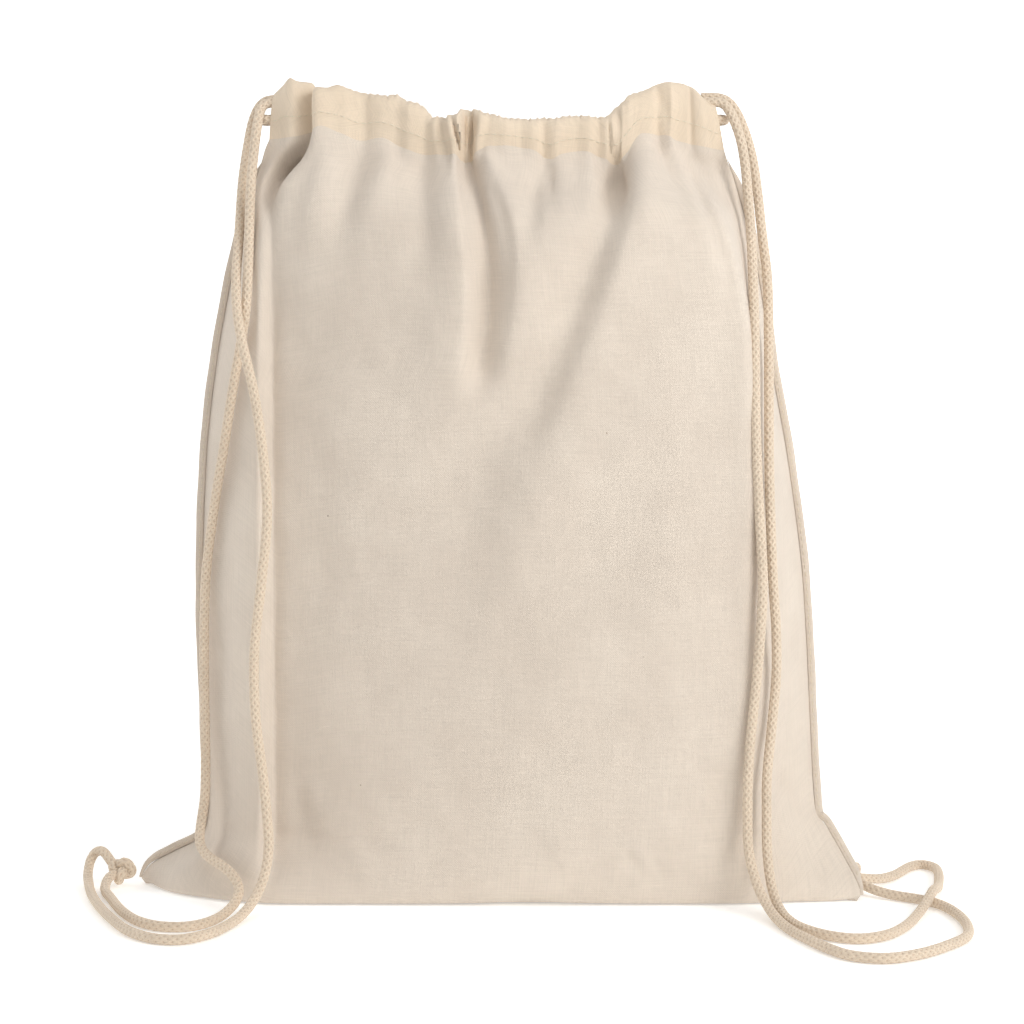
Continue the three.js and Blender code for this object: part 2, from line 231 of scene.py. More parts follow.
def build(name: str, points: np.ndarray, faces: np.ndarray, uv: np.ndarray) -> bpy.types.Object:
    """Makes a smooth-shaded object from whole arrays.

    Args:
        name: the piece's name.
        points: every vertex, in metres.
        faces: four vertex numbers for each face.
        uv: a texture place for each vertex, in metres of cloth or cord.

    Returns:
        The new object, at the origin.
    """
    mesh = bpy.data.meshes.new(name)
    mesh.vertices.add(len(points))
    mesh.vertices.foreach_set("co", points.astype(np.float32).ravel())
    mesh.loops.add(faces.size)
    mesh.loops.foreach_set("vertex_index", faces.astype(np.int32).ravel())
    mesh.polygons.add(len(faces))
    mesh.polygons.foreach_set("loop_start", np.arange(0, faces.size, 4, dtype=np.int32))
    mesh.polygons.foreach_set("loop_total", np.full(len(faces), 4, np.int32))
    layer = mesh.uv_layers.new(name="cut")
    layer.uv.foreach_set("vector", uv[faces.ravel()].astype(np.float32).ravel())
    mesh.polygons.foreach_set("use_smooth", np.ones(len(faces), bool))
    mesh.update(calc_edges=True)
    mesh.validate()
    piece = bpy.data.objects.new(name, mesh)
    bpy.context.scene.collection.objects.link(piece)
    return piece


def grid_faces(rows: int, columns: int, turned: bool = False) -> np.ndarray:
    """Quads of a grid whose vertices run along the rows. Turned faces look the other way."""
    r, c = np.meshgrid(np.arange(rows - 1), np.arange(columns - 1), indexing="ij")
    corner = (r * columns + c).ravel()
    faces = np.stack([corner, corner + 1, corner + columns + 1, corner + columns], axis=1)
    return faces[:, ::-1] if turned else faces


def quads(
    row: np.ndarray, above: np.ndarray, side: np.ndarray, beside: np.ndarray, wide: int
) -> np.ndarray:
    """Four places for each quad between two rows, where a row holds wide places.

    Args:
        row: each quad's own row.
        above: the next row.
        side: its place in the row.
        beside: the next place.
        wide: how many places a row holds.

    Returns:
        Four numbers for each quad, going round it.
    """
    round_it = ((row, side), (row, beside), (above, beside), (above, side))
    return np.stack([(at * wide + place).ravel() for at, place in round_it], axis=1)


def carry(
    name: str, rings: np.ndarray, uv: np.ndarray, closed: bool = False
) -> bpy.types.Object:
    """Skins a row of closed rings into a tube, and draws its ends in to a point.

    Args:
        name: the piece's name.
        rings: the tube's points, ring by ring, in metres.
        uv: a texture place for each point, with one more column for the closing seam.
        closed: True for a tube that meets its own start.

    Returns:
        The new object.
    """
    rows, sides = rings.shape[:2]
    if not closed:
        middles = rings.mean(axis=1, keepdims=True)
        head = middles[:1] + (rings[:1] - middles[:1]) * 1e-3
        tail = middles[-1:] + (rings[-1:] - middles[-1:]) * 1e-3
        rings = np.concatenate([head, rings, tail])
        uv = np.concatenate([uv[:1], uv, uv[-1:]])
        rows += 2
    r, k = np.meshgrid(np.arange(rows if closed else rows - 1), np.arange(sides), indexing="ij")
    up, right = (r + 1) % rows, (k + 1) % sides
    faces = quads(r, up, k, right, sides)
    points = rings.reshape(-1, 3)
    a, b, c = points[faces[:, 0]], points[faces[:, 1]], points[faces[:, 2]]
    d = points[faces[:, 3]]
    volume = np.einsum("ij,ij->", a, np.cross(b, c)) + np.einsum("ij,ij->", a, np.cross(c, d))
    wide = uv.shape[1]
    last = np.where(up == 0, rows, up) if closed else up
    corners = quads(r, last, k, k + 1, wide)
    if volume < 0:
        faces, corners = faces[:, ::-1], corners[:, ::-1]
    piece = build(name, points, faces, np.zeros((len(points), 2)))
    flat = uv.reshape(-1, 2)[corners.ravel()].astype(np.float32)
    piece.data.uv_layers[0].uv.foreach_set("vector", flat.ravel())
    if not closed:
        weld = piece.modifiers.new("weld", "WELD")
        weld.merge_threshold = 2e-5
        apply_modifiers(piece)
    return piece


def apply_modifiers(piece: bpy.types.Object) -> None:
    """Makes a piece's modifiers part of its mesh."""
    graph = bpy.context.evaluated_depsgraph_get()
    finished = bpy.data.meshes.new_from_object(piece.evaluated_get(graph))
    old = piece.data
    piece.modifiers.clear()
    piece.data = finished
    finished.name = piece.name
    bpy.data.meshes.remove(old)


def dress(piece: bpy.types.Object, finish: bpy.types.Material) -> None:
    """Gives a piece its finish."""
    piece.data.materials.clear()
    piece.data.materials.append(finish)


def bend(
    piece: bpy.types.Object, still: str, moving: str, low: tuple, high: tuple, share: np.ndarray
) -> None:
    """Lets a piece bend from one body to another, by less where share is below 1.

    Args:
        piece: the piece, with its mesh final.
        still: the body that it follows before low.
        moving: the body that it follows after high.
        low: where the bend starts, in metres.
        high: where the bend ends, in metres.
        share: how much of the motion each vertex takes.
    """
    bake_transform(piece, still, moving, low, high)
    weights = np.empty(len(piece.data.vertices), np.float32)
    held = piece.data.attributes["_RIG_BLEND"].data
    held.foreach_get("value", weights)
    held.foreach_set("value", (weights * share).astype(np.float32))


def vertices_of(piece: bpy.types.Object) -> np.ndarray:
    """Every vertex of a piece, in metres."""
    flat = np.empty(len(piece.data.vertices) * 3, np.float32)
    piece.data.vertices.foreach_get("co", flat)
    return flat.reshape(-1, 3).astype(float)


# ---- Finishes --------------------------------------------------------------------------------


def linear(red: int, green: int, blue: int) -> tuple:
    """An 8-bit display colour as the linear colour that a shader takes."""
    share = np.array([red, green, blue]) / 255.0
    light = np.where(share <= 0.04045, share / 12.92, ((share + 0.055) / 1.055) ** 2.4)
    return (*light.tolist(), 1.0)


class Nodes:
    """A short way to lay out one material's nodes."""

    def __init__(self, name: str) -> None:
        """Starts an empty material with one Principled shader."""
        self.material = bpy.data.materials.new(name)
        self.material.use_nodes = True
        self.tree = self.material.node_tree
        self.shader = self.tree.nodes["Principled BSDF"]

    def add(self, kind: str, inputs: dict | None = None, **settings: object) -> bpy.types.Node:
        """Adds a node.

        Args:
            kind: the node's type name.
            inputs: a value or another node's output socket for each input.
            settings: the node's own properties.

        Returns:
            The new node.
        """
        node = self.tree.nodes.new(kind)
        for key, value in settings.items():
            setattr(node, key, value)
        for key, value in (inputs or {}).items():
            self.feed(node.inputs[key], value)
        return node

    def feed(self, socket: bpy.types.NodeSocket, value: object) -> None:
        """Links another node's output to a socket, or sets the socket's own value."""
        if isinstance(value, bpy.types.NodeSocket):
            self.tree.links.new(value, socket)
        else:
            socket.default_value = value

    def math(self, operation: str, *values: object) -> bpy.types.NodeSocket:
        """One Math node's result."""
        inputs = {k: v for k, v in enumerate(values)}
        return self.add("ShaderNodeMath", inputs, operation=operation).outputs[0]

    def mix(self, share: object, first: object, second: object) -> bpy.types.NodeSocket:
        """Two colours mixed by share."""
        node = self.tree.nodes.new("ShaderNodeMix")
        node.data_type = "RGBA"
        self.feed(node.inputs[0], share)
        self.feed(node.inputs[6], first)
        self.feed(node.inputs[7], second)
        return node.outputs[2]

    def band(self, value: object, low: float, high: float) -> bpy.types.NodeSocket:
        """A value mapped smoothly from low..high to 0..1."""
        inputs = {"Value": value, "From Min": low, "From Max": high}
        node = self.add("ShaderNodeMapRange", inputs, interpolation_type="SMOOTHSTEP")
        return node.outputs[0]

    def noise(self, place: object, scale: float, detail: float = 2.0) -> bpy.types.NodeSocket:
        """Smooth noise, about 0.5 in the middle."""
        inputs = {"Vector": place, "Scale": scale, "Detail": detail}
        return self.add("ShaderNodeTexNoise", inputs).outputs[0]

    def stretched(self, place: object, across: float, along: float) -> bpy.types.NodeSocket:
        """A place scaled by two different amounts."""
        inputs = {"Vector": place, "Scale": (across, along, 1.0)}
        return self.add("ShaderNodeMapping", inputs).outputs[0]


@dataclass(frozen=True)
class ClothFinish:
    """Unbleached plain-weave cotton: threads, slubs, seed specks and uneven tone.

    pitch is the distance between threads in metres. speck is how many of the cells that
    could hold a fleck of seed do hold one.
    """

    name: str
    colour: tuple
    shade: tuple
    pitch: float = 0.00052
    speck: float = 0.13

    def make(self) -> bpy.types.Material:
        """Lays out the cloth's nodes."""
        n = Nodes(self.name)
        cut = n.add("ShaderNodeUVMap", uv_map="cut").outputs[0]
        place = n.add("ShaderNodeTexCoord").outputs["Object"]
        axes = n.add("ShaderNodeSeparateXYZ", {"Vector": cut})
        turn = math.pi / self.pitch
        # Over and under: each thread is a half wave across, and they swap places like a
        # draughts board, so the height is the half wave of whichever thread is on top.
        wave_u = n.math("SINE", n.math("MULTIPLY", axes.outputs[0], turn))
        wave_v = n.math("SINE", n.math("MULTIPLY", axes.outputs[1], turn))
        board = n.math("MULTIPLY", wave_u, wave_v)
        # Slubs: thick places in single threads, long along the thread and narrow across it.
        warp = n.noise(n.stretched(cut, 1300.0, 55.0), 1.0, 3.0)
        weft = n.noise(n.stretched(cut, 48.0, 1500.0), 1.0, 3.0)
        fat_weft = n.band(n.noise(n.stretched(cut, 95.0, 1100.0), 1.0, 1.0), 0.66, 0.82)
        threads = n.math("ADD", n.math("MULTIPLY", warp, 0.5), n.math("MULTIPLY", weft, 0.5))
        tone = n.noise(place, 9.0, 3.0)
        cloud = n.noise(place, 42.0, 4.0)
        mottle = n.math("ADD", n.math("MULTIPLY", tone, 0.55), n.math("MULTIPLY", cloud, 0.45))
        shaded = n.mix(n.band(mottle, 0.3, 0.72), self.shade, self.colour)
        dark = tuple(c * 0.80 for c in self.colour[:3]) + (1.0,)
        pale = tuple(min(c * 1.09, 1.0) for c in self.colour[:3]) + (1.0,)
        woven = n.mix(n.math("MULTIPLY", n.band(threads, 0.60, 0.36), 0.42), shaded, dark)
        woven = n.mix(n.math("MULTIPLY", fat_weft, 0.45), woven, pale)
        # Flecks of seed: one in each chosen cell, of uneven size.
        cells = n.add("ShaderNodeTexVoronoi", {"Vector": place, "Scale": 62.0})
        pick = n.add("ShaderNodeSeparateColor", {"Color": cells.outputs["Color"]})
        chosen = n.math("LESS_THAN", pick.outputs[0], self.speck)
        radius = n.math("MULTIPLY_ADD", pick.outputs[1], 0.030, 0.010)
        near = n.math("LESS_THAN", cells.outputs["Distance"], radius)
        fleck = n.math("MULTIPLY", n.math("MULTIPLY", chosen, near), 0.72)
        tint = n.mix(pick.outputs[2], linear(92, 74, 58), linear(158, 122, 92))
        flecked = n.mix(fleck, woven, tint)
        n.feed(n.shader.inputs["Base Color"], flecked)
        n.feed(n.shader.inputs["Roughness"], n.math("MULTIPLY_ADD", threads, -0.2, 0.98))
        n.shader.inputs["Sheen Weight"].default_value = 0.25
        n.shader.inputs["Sheen Roughness"].default_value = 0.6
        n.shader.inputs["Specular IOR Level"].default_value = 0.15
        relief = n.math("ADD", n.math("MULTIPLY", board, 0.35), n.math("MULTIPLY", threads, 1.3))
        weave = n.add(
            "ShaderNodeBump", {"Height": relief, "Strength": 0.55, "Distance": 0.00022}
        ).outputs[0]
        crumple = n.noise(place, 95.0, 5.0)
        soft = n.add(
            "ShaderNodeBump",
            {"Height": crumple, "Strength": 0.35, "Distance": 0.0016, "Normal": weave},
        )
        n.feed(n.shader.inputs["Normal"], soft.outputs[0])
        return n.material


@dataclass(frozen=True)
class BraidFinish:
    """Braided cotton cord: two families of plaits that cross, with shade in the gaps.

    plaits is how many plaits of each family go round, and pitch is how far along the cord,
    in metres, one of them takes to pass the next one's place.
    """

    name: str
    colour: tuple
    gap: tuple
    plaits: int = 5
    pitch: float = 0.0034

    def make(self) -> bpy.types.Material:
        """Lays out the braid's nodes, on a map that runs 0..1 round and metres along."""
        n = Nodes(self.name)
        cut = n.add("ShaderNodeUVMap", uv_map="cut").outputs[0]
        place = n.add("ShaderNodeTexCoord").outputs["Object"]
        axes = n.add("ShaderNodeSeparateXYZ", {"Vector": cut})
        round_ = n.math("MULTIPLY", axes.outputs[0], 2 * math.pi * self.plaits)
        along = n.math("MULTIPLY", axes.outputs[1], 2 * math.pi / self.pitch)
        one = n.math("COSINE", n.math("ADD", round_, along))
        other = n.math("COSINE", n.math("SUBTRACT", round_, along))
        top = n.math("MAXIMUM", one, other)
        gap = n.math("MULTIPLY", n.band(top, -0.3, -0.95), 0.62)
        strand = n.noise(n.stretched(cut, 60.0, 2400.0), 1.0, 2.0)
        blotch = n.noise(place, 60.0, 3.0)
        dark = tuple(c * 0.78 for c in self.colour[:3]) + (1.0,)
        body = n.mix(n.math("MULTIPLY", n.band(strand, 0.62, 0.38), 0.35), self.colour, dark)
        body = n.mix(n.math("MULTIPLY", n.band(blotch, 0.4, 0.75), 0.3), body, dark)
        n.feed(n.shader.inputs["Base Color"], n.mix(gap, body, self.gap))
        n.shader.inputs["Roughness"].default_value = 0.92
        n.shader.inputs["Sheen Weight"].default_value = 0.3
        n.shader.inputs["Specular IOR Level"].default_value = 0.15
        relief = n.math("MULTIPLY_ADD", strand, 0.4, top)
        bump = n.add("ShaderNodeBump", {"Height": relief, "Strength": 0.7, "Distance": 0.0003})
        n.feed(n.shader.inputs["Normal"], bump.outputs[0])
        return n.material


@dataclass(frozen=True)
class ThreadFinish:
    """Twisted sewing cotton, with the twist running slantwise along each stitch and painted shade in the
    grooves between its plies.
    """

    name: str
    colour: tuple

    def make(self) -> bpy.types.Material:
        """Lays out the thread's nodes."""
        n = Nodes(self.name)
        cut = n.add("ShaderNodeUVMap", uv_map="cut").outputs[0]
        axes = n.add("ShaderNodeSeparateXYZ", {"Vector": cut})
        slant = n.math("MULTIPLY_ADD", axes.outputs[0], 12.0, 0.0)
        phase = n.math("MULTIPLY_ADD", axes.outputs[1], 9000.0, slant)
        twist = n.math("SINE", phase)
        # Painted shade: the colour darkens where the twist's height is low, in the grooves between the plies.
        dark = tuple(c * 0.72 for c in self.colour[:3]) + (1.0,)
        n.feed(n.shader.inputs["Base Color"], n.mix(n.band(twist, 0.4, -0.9), self.colour, dark))
        n.shader.inputs["Roughness"].default_value = 0.8
        n.shader.inputs["Sheen Weight"].default_value = 0.2
        bump = n.add("ShaderNodeBump", {"Height": twist, "Strength": 0.4, "Distance": 0.0001})
        n.feed(n.shader.inputs["Normal"], bump.outputs[0])
        return n.material


@dataclass(frozen=True)
class BackdropFinish:
    """Matt white paper, a little uneven."""

    name: str
    colour: tuple

    def make(self) -> bpy.types.Material:
        """Lays out the paper's nodes."""
        n = Nodes(self.name)
        place = n.add("ShaderNodeTexCoord").outputs["Object"]
        grain = n.noise(place, 30.0, 4.0)
        dull = tuple(c * 0.985 for c in self.colour[:3]) + (1.0,)
        n.feed(n.shader.inputs["Base Color"], n.mix(grain, dull, self.colour))
        n.shader.inputs["Roughness"].default_value = 0.95
        n.shader.inputs["Specular IOR Level"].default_value = 0.1
        n.shader.inputs["Emission Color"].default_value = self.colour
        # The paper behind the bag glows, so that it stays white while the bag keeps its shade.
        depth = n.add("ShaderNodeSeparateXYZ", {"Vector": place}).outputs[1]
        glow = n.math("MULTIPLY_ADD", n.band(depth, -0.6, 2.2), 0.65, 0.22)
        n.feed(n.shader.inputs["Emission Strength"], glow)
        return n.material


SACK_COTTON = ClothFinish("sack_cotton", linear(225, 213, 199), linear(215, 202, 188))
HEM_COTTON = ClothFinish("hem_cotton", linear(231, 214, 192), linear(224, 206, 183), speck=0.06)
CORD_COTTON = BraidFinish("cord_cotton", linear(230, 212, 190), linear(188, 157, 133))
THREAD = ThreadFinish("thread", linear(238, 226, 205))
PAPER = BackdropFinish("white_paper", linear(250, 250, 249))


# ---- The mouth's line ------------------------------------------------------------------------

MOUTH_LEFT = -107.0           # left end of the casings
MOUTH_RIGHT = 102.0           # right end of the casings
MOUTH_MIDDLE = (MOUTH_LEFT + MOUTH_RIGHT) / 2
MOUTH_REACH = (MOUTH_RIGHT - MOUTH_LEFT) / 2
TUNNEL_LEVEL = 368.5          # height of the cords' tunnel at its two ends
TUNNEL_APART = 5.6            # how far its two ends lie from the middle of the bag
TUNNEL_BOW = 10.4             # how much further out its middle lies
ROW_OFFSET = 5.0              # a cord lies this far above or below the tunnel's middle
HEM_OUT = 0.92                # how near the stitching is to the casing's outer face, from its middle
PLEAT_FORWARD = 11.0          # how far the face's left edge stands out at the casing
PLEAT_PLACE = -85.0           # where it does
OPEN_LOW = 333.0              # height where the mouth starts to bend open
OPEN_HIGH = 353.0             # height above which it follows the opening fully

# Height of the gathered top edge across the mouth.
TOP_EDGE = (
    (-108, 375), (-103, 379), (-99, 382), (-94, 380.5), (-88, 380), (-86.5, 377.5), (-80, 377),
    (-74, 378.4), (-70, 377.2), (-64, 375.2), (-57, 374.2), (-52, 373.6), (-48, 374.2),
    (-43, 371.2), (-38, 370), (-34, 367.2), (-31, 363.6), (-28, 363.8), (-25, 363),
    (-22.5, 364.6), (-20, 364.2), (-17, 367.2), (-13, 366.8), (-10, 367), (-7, 365.6),
    (-2, 364.8), (4, 363.2), (9, 363), (16, 362.6), (22, 363.3), (26, 362.9), (32, 364.1),
    (40, 364.3), (47, 363.7), (51, 364), (54, 367), (58, 370.2), (62, 374), (66, 375.2),
    (70, 376.6), (75, 379), (80, 380), (86, 379.6), (92, 378), (98, 374.6), (103, 371),
)

# Height of the stitching that closes the casing.
STITCH_LINE = (
    (-108, 356), (-95, 356), (-88, 357.5), (-82, 359.5), (-74, 356.5), (-64, 353), (-54, 354),
    (-45, 350), (-37, 347), (-26, 345.8), (-20, 345), (-15.5, 343.8), (-11, 346.5), (-4, 350.0),
    (4, 350), (14, 348.8), (20, 346.5), (25, 344), (30, 346.5), (38, 348), (46, 346),
    (55, 342), (61, 347.5), (67, 356), (76, 355.6), (84, 353), (92, 352), (103, 351),
)

PUCKER_DEPTH = 1.05           # how strongly the puckers stand out
GATHER = -15.5                # where the front is bunched tightest

# The mouth's puckers: place, width, how far each stands out, and how far it reaches down.
PUCKERS = (
    (-71.0, 3.0, 0.7, 18), (-62.0, 2.6, -0.9, 26), (-54.5, 4.0, 0.8, 24), (-46.5, 2.6, -0.7, 22),
    (-41.0, 3.0, 0.8, 26), (-34.0, 2.2, -1.1, 16), (-30.2, 1.6, 1.0, 20), (-27.4, 1.3, -1.3, 20),
    (-24.4, 1.4, 1.6, 22), (-21.4, 1.1, -2.0, 24), (-18.6, 1.2, 2.0, 26), (-15.8, 1.0, -2.3, 28),
    (-12.8, 1.4, 1.8, 26), (-9.6, 1.2, -1.3, 24), (-6.4, 1.8, 1.2, 20), (-3.0, 1.5, -0.8, 14),
    (3.5, 3.2, 0.8, 20), (11.0, 2.0, -0.6, 14), (16.5, 2.4, 0.6, 12), (21.5, 1.8, -1.5, 26),
    (27.5, 3.2, 1.1, 26), (36.5, 2.4, -0.7, 20), (42.0, 2.2, 0.7, 18), (46.5, 1.7, -1.0, 20),
    (50.2, 1.4, 1.0, 18), (74.5, 2.2, -1.8, 26), (80.0, 2.4, 1.0, 26), (90.5, 1.4, -1.2, 20),
    (96.0, 3.0, 0.8, 24),
)

# Lapped folds, where the cloth climbs over its neighbour in one step: the step's line (z, x),
# its sharpness, which way it falls off, over what width, its height and its lowest level.
LAPS = (
    (((330, 60), (342, 57.5), (350, 53), (366, 51.5)), 0.8, 1, 11.0, 3.4, 322),
    (((330, -11), (342, -14.5), (352, -17.5), (366, -21)), 0.7, 1, 6.0, 2.4, 318),
    (((340, 84), (354, 80.5), (366, 76), (378, 71.5)), 0.8, -1, 5.0, 1.7, 342),
)

# The back is gathered in its own way.
BACK_PUCKERS = (
    (-92.0, 3.0, 1.6, 24), (-84.0, 2.4, -1.8, 28), (-75.0, 3.4, 1.5, 26), (-66.0, 2.2, -1.7, 24),
    (-58.0, 2.6, 1.5, 26), (-51.0, 1.8, -1.9, 22), (-44.0, 2.2, 1.7, 26), (-37.5, 1.6, -1.9, 24),
    (-31.5, 1.9, 1.6, 22), (-26.0, 1.4, -1.8, 26), (-20.5, 1.8, 1.9, 24), (-14.5, 1.5, -2.1, 28),
    (-8.5, 2.0, 1.8, 24), (-2.0, 1.7, -1.7, 22), (4.5, 2.1, 1.6, 26), (11.0, 1.6, -2.0, 24),
    (17.0, 1.8, 1.7, 22), (23.5, 1.5, -1.8, 26), (30.0, 2.2, 1.6, 24), (37.0, 1.8, -1.7, 22),
    (44.0, 2.3, 1.5, 26), (52.0, 1.9, -1.9, 28), (60.5, 2.8, 1.6, 24), (70.0, 2.2, -1.7, 24),
    (79.0, 3.2, 1.5, 26), (88.0, 2.4, -1.6, 24), (96.0, 2.8, 1.2, 22),
)


def lapped(away: np.ndarray, lap: tuple) -> np.ndarray:
    """How far a lapped fold stands out: a sharp step on one side and a slow fall on the other.

    Args:
        away: distance across the cloth from the step's line.
        lap: one row of LAPS.

    Returns:
        The height of the fold at each point.
    """
    _, sharp, way, width, height, _ = lap
    past = np.maximum(away * way, 0)
    return height / (1 + np.exp(-np.clip(4 * away * way / sharp, -60, 60))) * np.exp(-past / width)


def leaning(place: float, up: np.ndarray, side: Side) -> np.ndarray:
    """Where a pucker stands at a share of the casing's height, 0 at the stitching.

    Puckers beside the tight bunch in the front lean in towards it on their way down.
    """
    pulled = math.exp(-(((place - GATHER) / 13.0) ** 4)) if side is Side.FRONT else 0.0
    return place + (GATHER - place) * pulled * 0.72 * (1 - up)


def bow(x: np.ndarray) -> np.ndarray:
    """How far open the mouth stands at x: a quarter wave, 1 in the middle and 0 at the ends."""
    share = np.clip((np.asarray(x) - MOUTH_MIDDLE) / MOUTH_REACH, -1, 1)
    return np.cos(math.pi / 2 * share)


def tunnel_y(x: np.ndarray) -> np.ndarray:
    """Distance of the cords' tunnel from the middle of the bag."""
    return TUNNEL_APART + TUNNEL_BOW * bow(x)


def tunnel_half(x: np.ndarray) -> np.ndarray:
    """Half the casing's thickness, a little less where the left shoulder is pleated."""
    pleat = 0.08 * np.exp(-(((np.asarray(x) - PLEAT_PLACE) / 7.0) ** 2))
    return (3.7 + 2.6 * bow(x) ** 2) * (1 - pleat)


def hem_y(x: np.ndarray) -> np.ndarray:
    """Distance of the casing's stitching from the middle of the bag, towards its outer face."""
    return tunnel_y(x) + HEM_OUT * tunnel_half(x)


def opening_share(x: np.ndarray) -> np.ndarray:
    """How much of the mouth's opening the cloth takes at x, from 0 at the sewn ends."""
    return step(bow(x), 0.04, 0.85)


# ---- The sack --------------------------------------------------------------------------------

# The filled sack from the floor up. Each row holds the height, the faces' half depth, then for
# the left and the right the half width of the flat face, the side seam's distance out and its
# height. The last two are how far the right seam leans forward, where its bottom corner is
# pulled to the front, and how far the left side swells, where its corner spreads.
LEVELS = (
    (0, 49.5, 106, 171.0, 3, 112, 168.8, 3, 40, 11),
    (4, 51.0, 106.5, 170.0, 5.4, 113, 168.5, 5.4, 39, 11),
    (8, 51.6, 107, 167.5, 9, 114, 167.2, 9, 37, 11),
    (16, 52, 107, 156, 15.5, 115, 163.4, 16.5, 28, 9),
    (27, 52, 106, 141, 24, 115, 157.6, 27, 18, 5),
    (33.5, 52, 105.6, 138.8, 32.5, 115, 154.2, 32.6, 14, 3.5),
    (36.5, 52, 105.4, 138.4, 36, 115, 151.0, 35.8, 12.5, 3),
    (42, 52, 105, 138, 42, 115, 150.2, 42, 10, 2),
    (80, 52, 104, 139, 80, 116, 148.5, 80, 4, 0),
    (140, 52, 104, 140.5, 140, 117, 145.5, 140, 0, 0),
    (200, 52, 104, 138.5, 200, 118, 138, 200, 0, 0),
    (250, 52, 104, 133, 250, 116, 129, 250, 0, 0),
    (290, 51, 103.5, 125.5, 290, 110, 123, 290, 0, 0),
    (318, 45, 102.5, 118.8, 318, 102, 116.4, 318, 0, 0),
    (329, 38.5, 101, 115.8, 329, 97, 113.2, 329, 0, 0),
    (336, 32.5, 96.5, 113.8, 336, 93.5, 111.2, 336, 0, 0),
    (342, 27.5, 90.5, 111.8, 341.6, 90.6, 109.2, 341.6, 0, 0),
    (348, 23.6, 87, 109.4, 347, 87.6, 107.4, 347, 0, 0),
    (353.5, 21.7, 86, 107.0, 351.5, 85, 105.8, 351.5, 0, 0),
)
SEAM_GAP = 0.6                # from the middle of a side seam to each panel's edge
NECK_LOW = 318.0              # height where the faces start to close in towards the mouth
FOLD_LEVEL = 353.5            # the table's last height, which lies along the stitching
FACE_CROWN = 1.2              # how far the middle of each face bulges
CLOTH = 0.75                  # thickness of the cloth
FLOOR_GAP = 0.12              # the cloth's outer face lies this far above the floor
BACK_STITCH_DROP = 2.0        # how much lower than the front's the back's stitching is
BACK_TOP_DROP = 2.4           # and its top edge

# Soft folds and creases in the front. Each has its points (x, z) from the top down, its width
# to the left at the two ends, its width to the right, how far it stands out or sinks in, and
# how much of its length fades at each end.
FRONT_FOLDS = (
    # The valley that hangs from the gathers, and the ridges on both sides of it.
    (((-15, 351), (-13, 340), (-9, 322), (-6, 305), (-5, 288), (-7, 262), (-12, 236)),
     (2.2, 6), (2.6, 8), -7.2, 0.05),
    (((-21, 352), (-21, 338), (-19, 318), (-16, 294), (-16, 262), (-20, 226)),
     (3.0, 30), (2.2, 7), 5.0, 0.08),
    (((-7, 350), (-2, 336), (7, 318), (10, 296), (8, 266), (2, 236)), (2.4, 7), (3.0, 22), 3.4, 0.10),
    # Slack between the left hump and the gathers.
    (((-37, 346), (-35, 330), (-32, 310), (-33, 280)), (5, 10), (4, 8), -2.6, 0.15),
    (((-50, 352), (-53, 336), (-58, 318), (-60, 290)), (4, 10), (5, 12), 2.4, 0.2),
    (((-64, 352), (-68, 334), (-72, 312), (-72, 280)), (4, 9), (4, 9), -2.0, 0.2),
    (((-79, 356), (-82, 338), (-86, 316), (-86, 280)), (4, 8), (7, 12), 2.6, 0.2),
    # The step where the right hump rises, and the long soft fold that runs down from it.
    (((56, 344), (55, 332), (49, 312), (41, 292), (31, 266), (18, 236), (4, 204)),
     (4, 22), (4, 12), -4.2, 0.06),
    (((66, 352), (67, 336), (63, 318), (56, 298), (47, 272), (34, 238), (18, 196)),
     (4.5, 9), (9, 34), 4.0, 0.08),
    (((30, 346), (28, 332), (24, 314), (22, 292)), (4, 9), (5, 12), 2.2, 0.2),
    (((20, 344), (17, 330), (14, 312), (13, 292)), (4, 8), (3, 7), -2.4, 0.2),
    (((43, 346), (42, 334), (38, 318)), (3, 7), (3, 8), 1.8, 0.2),
    (((75, 354), (78, 342), (79, 328)), (2.4, 6), (2.4, 6), -2.6, 0.15),
    (((87, 352), (91, 338), (96, 322), (103, 300), (109, 268)), (3, 7), (3, 8), -2.6, 0.12),
    # Long, faint swells lower down.
    (((0, 236), (-12, 190), (-22, 140), (-24, 96)), (18, 24), (12, 18), -3.2, 0.25),
    (((28, 236), (16, 190), (6, 140), (0, 96)), (12, 18), (16, 26), 2.6, 0.25),
    (((-62, 262), (-68, 190), (-66, 110)), (14, 18), (18, 22), 1.5, 0.3),
    (((74, 250), (80, 170), (78, 90)), (16, 20), (14, 16), 1.2, 0.3),
    (((-84, 240), (-82, 150), (-86, 70)), (8, 10), (8, 10), -1.1, 0.3),
    # Creases near the foot.
    (((56, 27), (64, 19), (73, 13)), (2.0, 2.8), (2.4, 3.2), -1.1, 0.25),
    (((60, 30), (69, 22), (78, 15)), (2.0, 2.8), (2.0, 2.8), 0.9, 0.25),
    (((68, 24), (76, 16), (83, 9)), (2.2, 3.0), (2.2, 3.0), -1.1, 0.25),
    (((-70, 30), (-56, 14), (-40, 5)), (5, 8), (5, 8), 1.2, 0.3),
    (((20, 34), (36, 18), (52, 8)), (6, 8), (6, 8), 1.0, 0.3),
    (((-96, 60), (-90, 34), (-80, 12)), (4, 6), (4, 6), -1.3, 0.3),
    (((104, 70), (99, 40), (92, 14)), (5, 7), (5, 7), -1.3, 0.3),
    (((-118, 30), (-134, 17), (-150, 9)), (3, 5), (3, 5), 1.4, 0.3),
    (((126, 60), (138, 47), (150, 40)), (2.4, 4), (2.4, 4), -1.8, 0.25),
    (((124, 26), (138, 18), (152, 12)), (3, 5), (3, 5), 1.5, 0.3),
)

